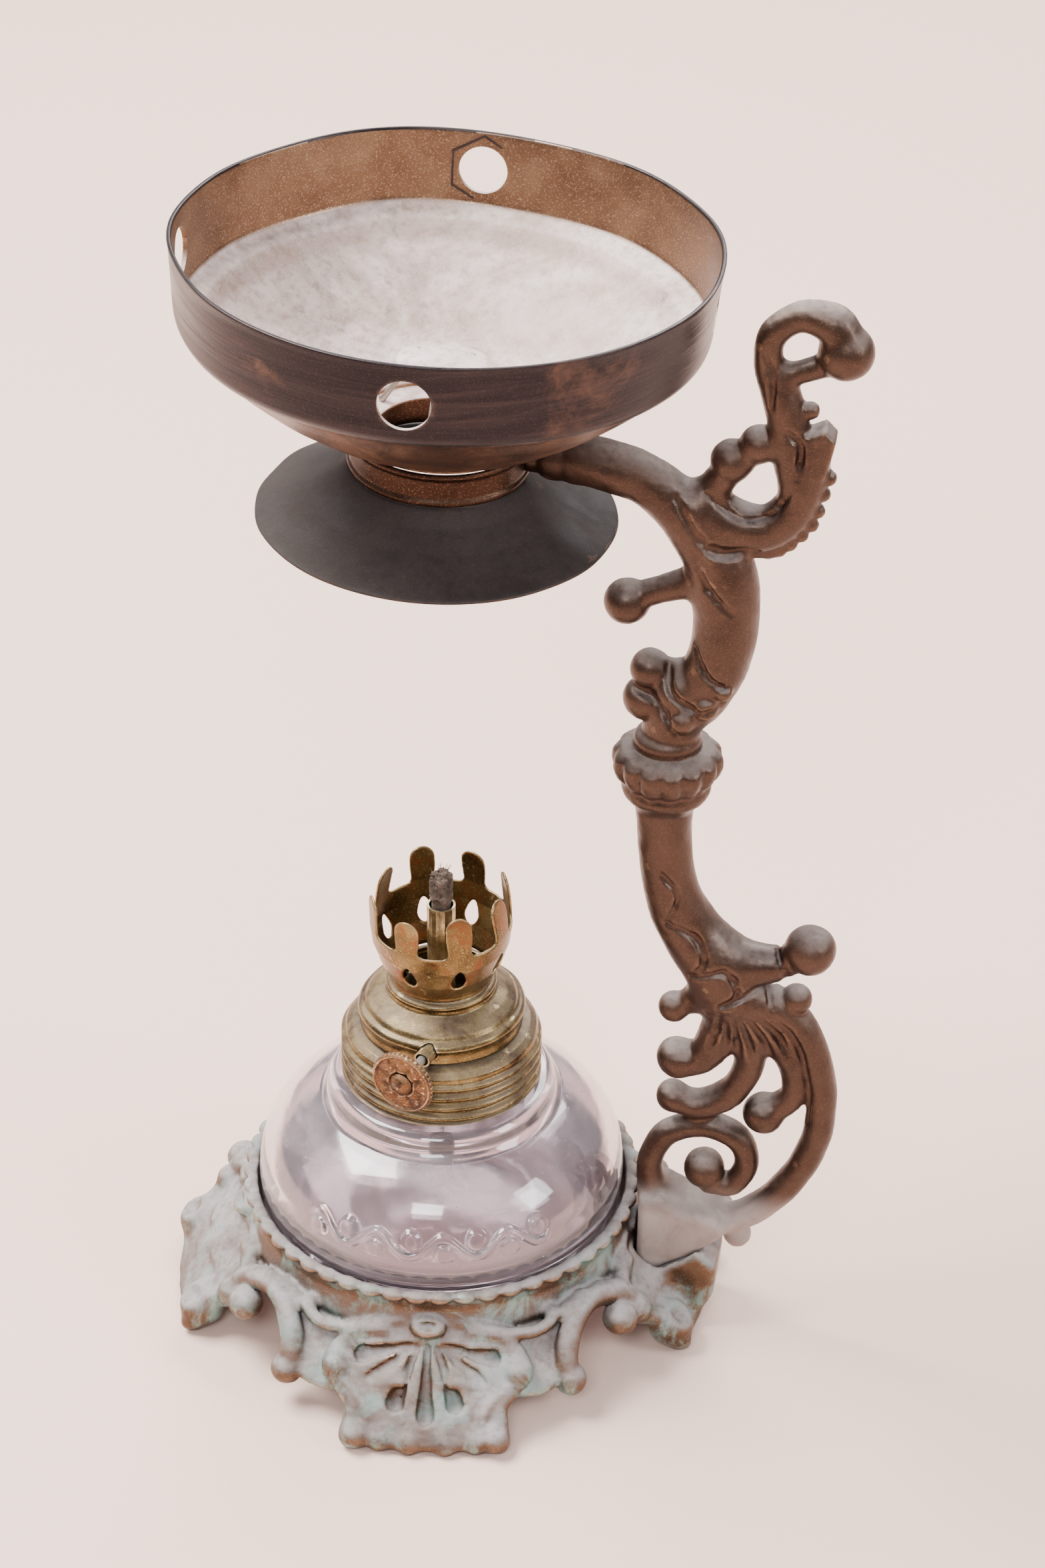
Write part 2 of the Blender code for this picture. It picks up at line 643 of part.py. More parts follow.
def burner_dome(look, winder):
    """The stepped cover over the deck, with the spindle's hole in its lower wall."""
    profile = [
        (7.3, DOME_TOP_Z), (8.1, DOME_TOP_Z - 0.2), (8.5, 58.4), (8.1, 57.8), (8.3, 57.2), (10.0, 56.5),
        (11.3, 55.6), (11.8, 54.9), (12.4, 54.5), (12.7, 53.9), (12.4, 52.9), (12.4, DOME_BASE_Z),
        (11.8, DOME_BASE_Z), (11.8, 53.6), (11.2, 54.4), (10.6, 55.2), (9.6, 55.9), (7.7, 56.7),
        (7.5, 57.8), (7.7, 58.4), (7.3, 58.6),
    ]
    dome = turned("burner_dome", profile, 26)
    drilled = hidden_collection("dome_drilling")
    place(rod("spindle_way", (0, 0, 8.0), (0, 0, 16.0), 1.5, 12), parent=winder, helpers=drilled)
    join(dome, drilled, "DIFFERENCE")
    place(dome, look)


def burner_crown(look):
    """The chimney holder: a flared cup with a teardrop hole under each of its sprung prongs."""
    sheet = 0.45
    low = DOME_TOP_Z + GAP
    outer = [(CROWN_TOP_R, CROWN_TOP_Z), (CROWN_TOP_R, 69.6), (10.2, 66.4), (9.1, 63.0), (8.0, 61.0)]
    outer += [(CROWN_BASE_R, 60.0), (CROWN_BASE_R, low)]
    inner = [(radius - sheet, z) for radius, z in reversed(outer)]
    crown = turned("burner_crown", outer + inner, 32)
    cut = hidden_collection("crown_cutting")
    for index in range(PRONGS):
        azimuth = PRONG_TURN + 360 / PRONGS * index
        hole = ball(f"teardrop_{index}", (0, 0, 0), 1.1, (3.0, 1.0, 1.9))
        hole.location = around(9.2, azimuth, 63.9) * MM
        hole.rotation_euler.z = math.radians(azimuth)
        place(hole, helpers=cut)
        slot = box(f"slot_{index}", (7.0, -1.8, 69.6), (13.0, 1.8, 80.0))
        slot.rotation_euler.z = math.radians(azimuth + 180 / PRONGS)
        place(slot, helpers=cut)
    join(crown, cut, "DIFFERENCE")
    place(crown, look)


def wick_tube(look, winder):
    """The brass tube that grips the wick, with a window that lets the sprocket teeth in."""
    profile = [(TUBE_R, TUBE_TOP_Z), (TUBE_R, TUBE_BOTTOM_Z)]
    profile += [(TUBE_BORE_R, TUBE_BOTTOM_Z), (TUBE_BORE_R, TUBE_TOP_Z)]
    tube = turned("wick_tube", profile, 20)
    cut = hidden_collection("tube_cutting")
    window = box("sprocket_window", (-2.6, -1.9, -1.7), (2.6, 1.9, 1.7))
    window.location = (-2.6 * MM, 0, 0)
    place(window, parent=winder, helpers=cut)
    join(tube, cut, "DIFFERENCE")
    place(tube, look)


def wick(look):
    """The round cotton wick, from its charred end down to a tail clear of the floor of the font."""
    profile = [(0.0, WICK_TOP_Z), (1.0, WICK_TOP_Z - 0.3), (WICK_R, WICK_TOP_Z - 1.2)]
    profile += [(WICK_R, 24.6), (1.1, 24.0), (0.0, 24.0)]
    place(turned("wick", profile, 14), look)


def wick_spindle(look, winder):
    """The wire shaft that joins the knob to the two sprockets."""
    spindle = rod("wick_spindle", (0, 0, -4.6), (0, 0, KNOB_REACH - 0.2), SPINDLE_R, 14)
    place(spindle, look, winder)


def sprocket_wheel(name, look, winder, middle):
    """A toothed wheel pressed on the spindle, its teeth reaching through the tube's window."""
    teeth, root = 8, 0.66

    def draw(bm):
        bmesh.ops.create_cone(
            bm, cap_ends=True, segments=teeth * 2, radius1=SPROCKET_R, radius2=SPROCKET_R, depth=0.6,
            matrix=Matrix.Translation((0, 0, middle)),
        )
        for vert in bm.verts:
            turn = round(math.degrees(math.atan2(vert.co.y, vert.co.x)) / (180 / teeth))
            if turn % 2:
                vert.co.x *= root
                vert.co.y *= root

    wheel = mesh_object(name, draw, smooth=False)
    bored = hidden_collection(f"{name}_bore")
    hole = rod(f"{name}_hole", (0, 0, middle - 1), (0, 0, middle + 1), SPINDLE_R + 0.15, 14)
    place(hole, parent=winder, helpers=bored)
    join(wheel, bored, "DIFFERENCE")
    place(wheel, look, winder)


def spindle_bushing(look, winder):
    """The sleeve in the dome's wall that the spindle turns in."""
    bore = SPINDLE_R + BEARING_PLAY
    profile = [(bore, 13.6), (1.3, 13.6), (1.3, 10.6), (bore, 10.6)]
    place(turned("spindle_bushing", profile, 14), look, winder)


def inner_bearing(look, winder):
    """The upright tab on the deck that carries the spindle's inner end."""
    tab = box("inner_bearing", (-1.8, DECK_Z + GAP - SPINDLE_Z, -4.0), (1.8, 1.9, -3.4))
    drilled = hidden_collection("bearing_drilling")
    hole = rod("bearing_hole", (0, 0, -6.0), (0, 0, -2.0), SPINDLE_R + BEARING_PLAY, 12)
    place(hole, parent=winder, helpers=drilled)
    join(tab, drilled, "DIFFERENCE")
    place(tab, look, winder)


def wick_knob(look, winder):
    """The winder's disc, with a shallow dish and a rolled edge."""
    base = KNOB_REACH
    bore = SPINDLE_R + 0.6
    profile = [
        (bore, base + 0.9), (2.0, base + 0.9), (2.6, base + 0.6), (3.8, base + 0.7),
        (KNOB_R - 0.3, base + 1.0), (KNOB_R, base + 0.6), (KNOB_R - 0.3, base + 0.2), (3.8, base),
        (bore, base),
    ]
    place(turned("wick_knob", profile, 24), look, winder)


def knob_rivet(look, winder):
    """The riveted boss that fixes the disc to the spindle's end."""
    base = KNOB_REACH
    profile = [
        (0.0, base + 2.0), (1.0, base + 1.8), (1.8, base + 1.3), (1.8, base + 1.15), (1.0, base + 1.15),
        (1.0, base + 0.1), (0.0, base + 0.1),
    ]
    place(turned("knob_rivet", profile, 14), look, winder)


def vent_tube(look):
    """The short vent tube beside the wick that lets air into the font."""
    profile = [(1.1, 56.0), (1.1, 47.6), (0.75, 47.6), (0.75, 56.0)]
    tube = turned("vent_tube", profile, 12)
    tube.location = around(VENT_REACH, VENT_AZIMUTH, 0) * MM
    place(tube, look)


def build():
    clear_scene()
    cast = material("weathered_bronze_paint", (0.36, 0.25, 0.17), 0.55, 0.7)
    bracket_cast = material("bronze_gilt_paint", (0.33, 0.2, 0.13), 0.5, 0.75)
    pan_sheet = material("bronzed_steel_sheet", (0.4, 0.28, 0.19), 0.5, 0.8)
    dark_sheet = material("sooted_sheet", (0.13, 0.09, 0.07), 0.8, 0.4)
    copper = material("coppery_sheet", (0.42, 0.23, 0.14), 0.45, 0.85)
    brass = material("aged_brass", (0.48, 0.36, 0.15), 0.45, 0.9)
    rusty_brass = material("heat_stained_brass", (0.45, 0.24, 0.1), 0.6, 0.75)
    steel = material("plain_steel", (0.5, 0.5, 0.5), 0.4, 1.0)
    cotton = material("charred_cotton", (0.3, 0.24, 0.2), 0.95, 0.0)
    cork = material("cork_washer", (0.42, 0.28, 0.17), 0.9, 0.0)
    clear = glass("lilac_clear_glass", (0.9, 0.86, 0.92), 0.06)

    axis = empty("lamp_axis", (LAMP_AXIS_X, 0, 0))
    bracket_turn = (0, 0, math.radians(BRACKET_AZIMUTH))
    bracket = empty("bracket_plane", rotation=bracket_turn, parent=axis)
    lean = empty("pan_axis", (0, 0, COLLAR_Z), (0, math.radians(PAN_LEAN), 0), bracket)
    winder = spindle_frame()

    base_casting(cast)
    bracket_casting(bracket_cast, bracket)
    bracket_screw(steel, bracket)
    arm_screw(brass, bracket)
    pan_gallery(pan_sheet, lean)
    baffle_disc(pan_sheet, lean)
    neck_collar(copper, lean)
    heat_cone(dark_sheet, lean)
    glass_font(clear)
    burner_gasket(cork)
    burner_skirt(brass)
    burner_dome(brass, winder)
    burner_crown(rusty_brass)
    wick_tube(brass, winder)
    vent_tube(brass)
    wick(cotton)
    wick_spindle(steel, winder)
    sprocket_wheel("outer_sprocket", brass, winder, 0.9)
    sprocket_wheel("inner_sprocket", brass, winder, -0.9)
    spindle_bushing(brass, winder)
    inner_bearing(brass, winder)
    wick_knob(rusty_brass, winder)
    knob_rivet(rusty_brass, winder)


build()
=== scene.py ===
"""The looks of the antique vaporizer lamp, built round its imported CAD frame.

Everything is drawn in millimetres in one of four frames: LAMP about the font's upright axis, BRACKET in the
bracket's own plane, PAN about the leaning axis of the pan, and WINDER about the wick winder's spindle. Cast pieces
are modelled as clay, a sampled distance field that shapes are blended into, and sheet pieces are turned profiles."""

import math

import bmesh
import bpy
import numpy as np
from mathutils import Matrix, Vector


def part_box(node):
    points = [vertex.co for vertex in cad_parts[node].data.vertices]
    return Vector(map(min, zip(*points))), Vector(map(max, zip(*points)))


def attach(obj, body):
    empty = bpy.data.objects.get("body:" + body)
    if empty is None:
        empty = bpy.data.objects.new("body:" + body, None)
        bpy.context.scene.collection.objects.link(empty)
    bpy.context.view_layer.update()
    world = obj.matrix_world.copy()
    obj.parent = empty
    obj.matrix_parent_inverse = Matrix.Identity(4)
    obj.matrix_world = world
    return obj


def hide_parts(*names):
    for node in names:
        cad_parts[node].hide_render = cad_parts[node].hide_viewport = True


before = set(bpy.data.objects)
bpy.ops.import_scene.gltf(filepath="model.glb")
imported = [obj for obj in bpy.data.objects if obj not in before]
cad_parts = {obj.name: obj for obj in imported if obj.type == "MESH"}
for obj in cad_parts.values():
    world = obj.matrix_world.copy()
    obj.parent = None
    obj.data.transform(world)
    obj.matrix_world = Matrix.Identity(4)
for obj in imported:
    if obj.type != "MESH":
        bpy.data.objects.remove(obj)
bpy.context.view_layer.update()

MM = 0.001
FAR = 9.0  # the clay's distance, in millimetres, where there is nothing near

# Camera, at the photograph's viewpoint
CAMERA_AIM = (3.01, 0.52, 93.61)
CAMERA_AZIMUTH, CAMERA_ELEVATION, CAMERA_ROLL = -87.5, 33.462, 0.668
CAMERA_DISTANCE = 524.93
CAMERA_LENS, CAMERA_SENSOR = 82.65, 36.0

# Places that the CAD model shares
BRACKET_AZIMUTH = -7.0
PAN_LEAN = 2.2
SPINDLE_AZIMUTH = -114.0
SPINDLE_OFFSET = 3.9
FEET = {"front": -90.0, "right": -7.0, "back": 90.0, "left": 187.0}
SCROLL_FEET = ("front", "back")
FOOT_TOP_R, FOOT_REACH, FOOT_TOP_Z = 29.6, 13.0, 16.0
SEAM = ((33.0, 8.1), (41.4, 14.2))
LUG_HALF = 4.2
RING_INNER_R, LEDGE_Z = 28.8, 11.7
BEADS = 52
FONT_R, FONT_BASE_Z, FONT_WIDEST_Z = 28.5, 12.0, 23.5
GLASS_WALL = 2.6
NECK_R, NECK_TOP_Z = 12.7, 49.3
SKIRT_R, DECK_Z = 14.7, 51.0
DOME_BASE_Z, DOME_TOP_Z = 51.3, 59.2
TUBE_R = 2.15
TUBE_BORE_R = 1.85
WICK_R, WICK_TOP_Z = 1.55, 77.5
CROWN_BASE_R, CROWN_TOP_R = 7.7, 10.6
CROWN_LOW_Z, CROWN_TOP_Z = 59.5, 75.8
PRONGS, PRONG_TURN = 8, 19.5
KNOB_R, KNOB_REACH = 5.0, 19.0
PAN_RIM_R, PAN_RIM_Z, PAN_FLANGE_R = 36.9, 180.0, 9.0
PAN_HOLE_R, PAN_HOLE_Z, PAN_HOLE_TURN = 3.5, 174.3, 2.5
BAFFLE_R, BAFFLE_Z = 6.3, 162.2
CONE_R, CONE_RIM_Z = 25.3, 139.2
COLLAR_R, COLLAR_BORE_R, COLLAR_HALF = 12.4, 11.8, 2.4


# ---------------------------------------------------------------- frames


def middle(node):
    low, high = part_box(node)
    return (low + high) / 2 / MM


def turn_about(axis, degrees):
    return Matrix.Rotation(math.radians(degrees), 4, axis)


lamp_axis = middle("burner_skirt")
collar_middle = middle("neck_collar")
COLLAR_Z = collar_middle.z
SPINDLE_Z = middle("wick_spindle").z
LAMP = Matrix.Translation((lamp_axis.x, lamp_axis.y, 0))
BRACKET = LAMP @ turn_about("Z", BRACKET_AZIMUTH)
PAN = BRACKET @ Matrix.Translation((0, 0, COLLAR_Z)) @ turn_about("Y", PAN_LEAN)


def polar(radius, azimuth, height):
    angle = math.radians(azimuth)
    return np.array((radius * math.cos(angle), radius * math.sin(angle), height))


WINDER = (
    LAMP
    @ Matrix.Translation(polar(SPINDLE_OFFSET, SPINDLE_AZIMUTH + 90, SPINDLE_Z))
    @ turn_about("Z", SPINDLE_AZIMUTH + 90)
    @ turn_about("X", 90)
)


# ---------------------------------------------------------------- meshes


def finished(name, points, faces, where, body, looks, nodes, sharp=40.0):
    """A piece drawn in millimetres in the frame where, which rides on a body and stands for CAD nodes."""
    mesh = bpy.data.meshes.new(name)
    mesh.from_pydata([tuple(point) for point in points], [], [tuple(face) for face in faces])
    work = bmesh.new()
    work.from_mesh(mesh)
    bmesh.ops.remove_doubles(work, verts=work.verts, dist=1e-4)
    bmesh.ops.recalc_face_normals(work, faces=work.faces)
    work.to_mesh(mesh)
    work.free()
    mesh.transform(Matrix.Scale(MM, 4) @ where)
    obj = bpy.data.objects.new(name, mesh)
    bpy.context.scene.collection.objects.link(obj)
    obj.data.materials.append(looks)
    shade(mesh, sharp)
    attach(obj, body)
    if nodes:
        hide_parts(*nodes)
    return obj


def shade(mesh, sharp):
    mesh.polygons.foreach_set("use_smooth", [True] * len(mesh.polygons))
    mesh.set_sharp_from_angle(angle=math.radians(sharp))


def cut_away(obj, cutters, where):
    """Cuts closed shapes, each of points and faces, out of a piece."""
    for points, faces in cutters:
        mesh = bpy.data.meshes.new("cutter")
        mesh.from_pydata([tuple(point) for point in points], [], faces)
        work = bmesh.new()
        work.from_mesh(mesh)
        bmesh.ops.recalc_face_normals(work, faces=work.faces)
        work.to_mesh(mesh)
        work.free()
        mesh.transform(Matrix.Scale(MM, 4) @ where)
        cutter = bpy.data.objects.new("cutter", mesh)
        bpy.context.scene.collection.objects.link(cutter)
        boolean = obj.modifiers.new("cut", "BOOLEAN")
        boolean.operation = "DIFFERENCE"
        boolean.solver = "EXACT"
        boolean.object = cutter
        graph = bpy.context.evaluated_depsgraph_get()
        result = bpy.data.meshes.new_from_object(obj.evaluated_get(graph))
        obj.modifiers.clear()
        obj.data = result
        bpy.data.objects.remove(cutter)
    shade(obj.data, 40.0)
    return obj


def drum(start, end, radius, sides=40):
    """A straight round cutter between two points."""
    start, end = Vector(start), Vector(end)
    aim = (end - start).to_track_quat("Z", "Y").to_matrix()
    points, faces = [], []
    for base in (start, end):
        for index in range(sides):
            angle = 2 * math.pi * index / sides
            points.append(base + aim @ Vector((radius * math.cos(angle), radius * math.sin(angle), 0)))
    for index in range(sides):
        after = (index + 1) % sides
        faces.append((index, after, sides + after, sides + index))
    faces += [tuple(range(sides)), tuple(range(sides, 2 * sides))]
    return points, faces


def rounded(profile, radius, closed=True):
    """A profile with its corners turned into short curves."""
    corners = [np.array(point, float) for point in profile]
    made = []
    for index, corner in enumerate(corners):
        if not closed and index in (0, len(corners) - 1):
            made.append(corner)
            continue
        before = corners[index - 1] - corner
        after = corners[(index + 1) % len(corners)] - corner
        start = corner + before * min(radius / np.linalg.norm(before), 0.45)
        end = corner + after * min(radius / np.linalg.norm(after), 0.45)
        for share in (0.0, 0.25, 0.5, 0.75, 1.0):
            made.append((1 - share) ** 2 * start + 2 * share * (1 - share) * corner + share**2 * end)
    return made


def dense(profile, spacing, closed=True):
    """The profile with extra points, so that no step is longer than spacing."""
    made = []
    ends = profile[1:] + profile[:1] if closed else profile[1:]
    for first, second in zip(profile, ends):
        first, second = np.array(first, float), np.array(second, float)
        steps = max(1, math.ceil(np.linalg.norm(second - first) / spacing))
        made += [first + (second - first) * step / steps for step in range(steps)]
    return made if closed else made + [np.array(profile[-1], float)]


def turned(profile, steps, warp=None, closed=True):
    """Points and quads of a profile of (radius, height) turned about Z. warp moves the radius and the height."""
    outline = np.array(profile)
    count = len(outline)
    turn = np.linspace(0, 2 * math.pi, steps, endpoint=False)[:, None]
    radius, height = outline[None, :, 0] + 0 * turn, outline[None, :, 1] + 0 * turn
    if warp is not None:
        radius, height = warp(turn, radius, height)
    points = np.stack((radius * np.cos(turn), radius * np.sin(turn), height), -1).reshape(-1, 3)
    row = np.arange(steps)[:, None] * count
    after = np.roll(row, -1, 0)
    here = np.arange(count if closed else count - 1)[None, :]
    there = (here + 1) % count
    faces = np.stack((row + here, row + there, after + there, after + here), -1).reshape(-1, 4)
    return points, faces


def wavy(seed, size, waves=7):
    """A smooth irregular function of place, between about -1 and 1, with features of the given size."""
    random = np.random.default_rng(seed)
    directions = random.normal(size=(waves, 3))
    directions *= (2 * math.pi / size / np.linalg.norm(directions, axis=1))[:, None]
    directions *= random.uniform(0.6, 1.6, (waves, 1))
    phases = random.uniform(0, 2 * math.pi, waves)

    def value(x, y, z):
        total = 0
        for (a, b, c), phase in zip(directions, phases):
            total = total + np.sin(a * x + b * y + c * z + phase)
        return total / waves**0.5

    return value


# ---------------------------------------------------------------- clay


def smooth_min(first, second, soft):
    share = np.clip(0.5 + 0.5 * (second - first) / soft, 0, 1)
    return second + (first - second) * share - soft * share * (1 - share)


def capsule(x, y, z, first, second):
    """Distance to a straight rod whose radius changes from one end, (x, y, z, radius), to the other."""
    along = second[:3] - first[:3]
    share = (x - first[0]) * along[0] + (y - first[1]) * along[1] + (z - first[2]) * along[2]
    share = np.clip(share / max(along @ along, 1e-9), 0, 1)
    across = (x - first[0] - share * along[0]) ** 2 + (y - first[1] - share * along[1]) ** 2
    across = across + (z - first[2] - share * along[2]) ** 2
    return np.sqrt(across) - first[3] - share * (second[3] - first[3])


def outline_distance(x, y, outline):
    """Distance to a closed flat outline, negative inside."""
    nearest, sign = np.inf, 1.0
    for (ax, ay), (bx, by) in zip(outline, outline[-1:] + outline[:-1]):
        ex, ey, wx, wy = bx - ax, by - ay, x - ax, y - ay
        share = np.clip((wx * ex + wy * ey) / (ex * ex + ey * ey), 0, 1)
        nearest = np.minimum(nearest, (wx - ex * share) ** 2 + (wy - ey * share) ** 2)
        above, below, side = y >= ay, y < by, ex * wy > ey * wx
        sign = np.where((above & below & side) | (~above & ~below & ~side), -sign, sign)
    return sign * np.sqrt(nearest)


def smooth_path(stations, steps=5):
    """More stations, on a smooth curve through the given ones."""
    knots = np.array(stations, float)
    if len(knots) < 3:
        return knots
    ends = np.vstack((2 * knots[0] - knots[1], knots, 2 * knots[-1] - knots[-2]))
    made = []
    for before, first, second, after in zip(ends, ends[1:], ends[2:], ends[3:]):
        for step in range(steps):
            t = step / steps
            made.append(
                0.5
                * (
                    2 * first
                    + (second - before) * t
                    + (2 * before - 5 * first + 4 * second - after) * t**2
                    + (3 * first - before - 3 * second + after) * t**3
                )
            )
    return np.array(made + [knots[-1]])


class Clay:
    """Sampled distances to a shape that is blended together from simpler ones; skin() gives its surface."""

    def __init__(self, low, high, cell):
        self.cell = cell
        self.low = np.array(low, float) - 3 * cell
        counts = np.ceil((np.array(high, float) - self.low) / cell).astype(int) + 4
        self.field = np.full(counts, FAR, np.float32)

    def window(self, low, high):
        """The slices of the samples in a box, and their places."""
        size = np.array(self.field.shape)
        first = np.clip(np.floor((np.array(low) - self.low) / self.cell).astype(int), 0, size)
        last = np.clip(np.ceil((np.array(high) - self.low) / self.cell).astype(int) + 1, 0, size)
        axes = [self.low[i] + self.cell * np.arange(first[i], last[i]) for i in range(3)]
        return tuple(map(slice, first, last)), np.meshgrid(*axes, indexing="ij", sparse=True)

    def merge(self, where, distance, soft, cut):
        here = self.field[where]
        if cut:
            self.field[where] = -smooth_min(-here, distance, soft)
        else:
            self.field[where] = smooth_min(here, distance, soft)

    def shape(self, low, high, distance, soft=0.6, cut=False):
        reach = soft + 2 * self.cell
        where, (x, y, z) = self.window(np.array(low) - reach, np.array(high) + reach)
        self.merge(where, distance(x, y, z), soft, cut)

    def tube(self, stations, soft=0.6, cut=False, depth=1.0):
        """A branch through stations of (x, y, z, radius); depth stretches its section along Y."""
        path = smooth_path(stations)
        reach = path[:, 3].max() * max(depth, 1.0) + soft + 2 * self.cell
        where, _ = self.window(path[:, :3].min(0) - reach, path[:, :3].max(0) + reach)
        own = np.full(self.field[where].shape, FAR, np.float32)
        squeeze = np.array((1, 1 / depth, 1, 1))
        for first, second in zip(path, path[1:]):
            low = np.minimum(first[:3], second[:3]) - reach
            part, (x, y, z) = self.window(low, np.maximum(first[:3], second[:3]) + reach)
            local = tuple(slice(s.start - w.start, s.stop - w.start) for s, w in zip(part, where))
            there = capsule(x, y / depth, z, first * squeeze, second * squeeze)
            own[local] = np.minimum(own[local], there)
        self.merge(where, own, soft, cut)

    def face(self, x, z, side):
        """How far from the plane y = 0 the shape's outermost surface lies at (x, z), on one side."""
        column, row = np.round((np.array((x, z)) - self.low[[0, 2]]) / self.cell).astype(int)
        line = self.field[column, :, row]
        heights = self.low[1] + self.cell * np.arange(len(line))
        inside = heights[line < 0] * side
        return side * (inside.max() + 0.5 * self.cell) if len(inside) else 0.0

    def ball(self, centre, radii, soft=0.4, turn=0.0, cut=False):
        """An ellipsoid with the given half sizes, turned about Z by degrees."""
        cx, cy, cz = centre
        a, b, c = np.broadcast_to(radii, 3)
        cosine, sine = math.cos(math.radians(turn)), math.sin(math.radians(turn))

        def distance(x, y, z):
            u, v = (x - cx) * cosine + (y - cy) * sine, (y - cy) * cosine - (x - cx) * sine
            return (np.sqrt((u / a) ** 2 + (v / b) ** 2 + ((z - cz) / c) ** 2) - 1) * min(a, b, c)

        reach = max(a, b, c)
        self.shape(np.array(centre) - reach, np.array(centre) + reach, distance, soft, cut)

    def slab(self, outline, half, turn=0.0, soft=0.5, cut=False, edge=0.6):
        """A flat plate with an outline of (x, z), standing in the XZ plane turned about Z, with soft edges."""
        cosine, sine = math.cos(math.radians(turn)), math.sin(math.radians(turn))

        def distance(x, y, z):
            u, v = x * cosine + y * sine, y * cosine - x * sine
            flat = outline_distance(u + 0 * z, z + 0 * u, outline) + edge
            side = np.abs(v) - half + edge
            outside = np.hypot(np.maximum(flat, 0), np.maximum(side, 0))
            return np.minimum(np.maximum(flat, side), 0) + outside - edge

        reach = max(abs(x) for x, _ in outline) + half
        low, high = min(z for _, z in outline), max(z for _, z in outline)
        self.shape((-reach, -reach, low), (reach, reach, high), distance, soft, cut)

    def skin(self):
        """Points and quads of the surface where the distance is zero."""
        field = self.field
        inside = field < 0
        near = np.zeros(np.array(field.shape) - 1, np.int8)
        corners = [(i, j, k) for i in (0, 1) for j in (0, 1) for k in (0, 1)]
        for i, j, k in corners:
            near += inside[i : i + near.shape[0], j : j + near.shape[1], k : k + near.shape[2]]
        crossed = (near > 0) & (near < 8)
        cells = np.argwhere(crossed)
        number = np.full(near.shape, -1, np.int64)
        number[crossed] = np.arange(len(cells))
        total, count = np.zeros((len(cells), 3)), np.zeros(len(cells))
        for first in corners:
            for axis in range(3):
                if first[axis]:
                    continue
                second = tuple(1 if i == axis else first[i] for i in range(3))
                start = field[tuple((cells + first).T)]
                end = field[tuple((cells + second).T)]
                crosses = (start < 0) != (end < 0)
                share = np.where(crosses, start / np.where(crosses, start - end, 1), 0)
                step = np.array(second) - first
                total += crosses[:, None] * (np.array(first) + share[:, None] * step)
                count += crosses
        points = self.low + self.cell * (cells + total / count[:, None])
        quads = []
        for axis in range(3):
            ahead = np.roll(inside, -1, axis)
            changes = inside != ahead
            edges = np.argwhere(changes)
            edges = edges[(edges > 0).all(1) & (edges < np.array(near.shape)).all(1)]
            one, two = np.eye(3, dtype=int)[(axis + 1) % 3], np.eye(3, dtype=int)[(axis + 2) % 3]
            ring = [number[tuple((edges - shift).T)] for shift in (0 * one, one, one + two, two)]
            quad = np.stack(ring, 1)
            flip = ~inside[tuple(edges.T)]
            quad[flip] = quad[flip][:, ::-1]
            quads.append(quad)
        return points, np.vstack(quads)


# ---------------------------------------------------------------- materials


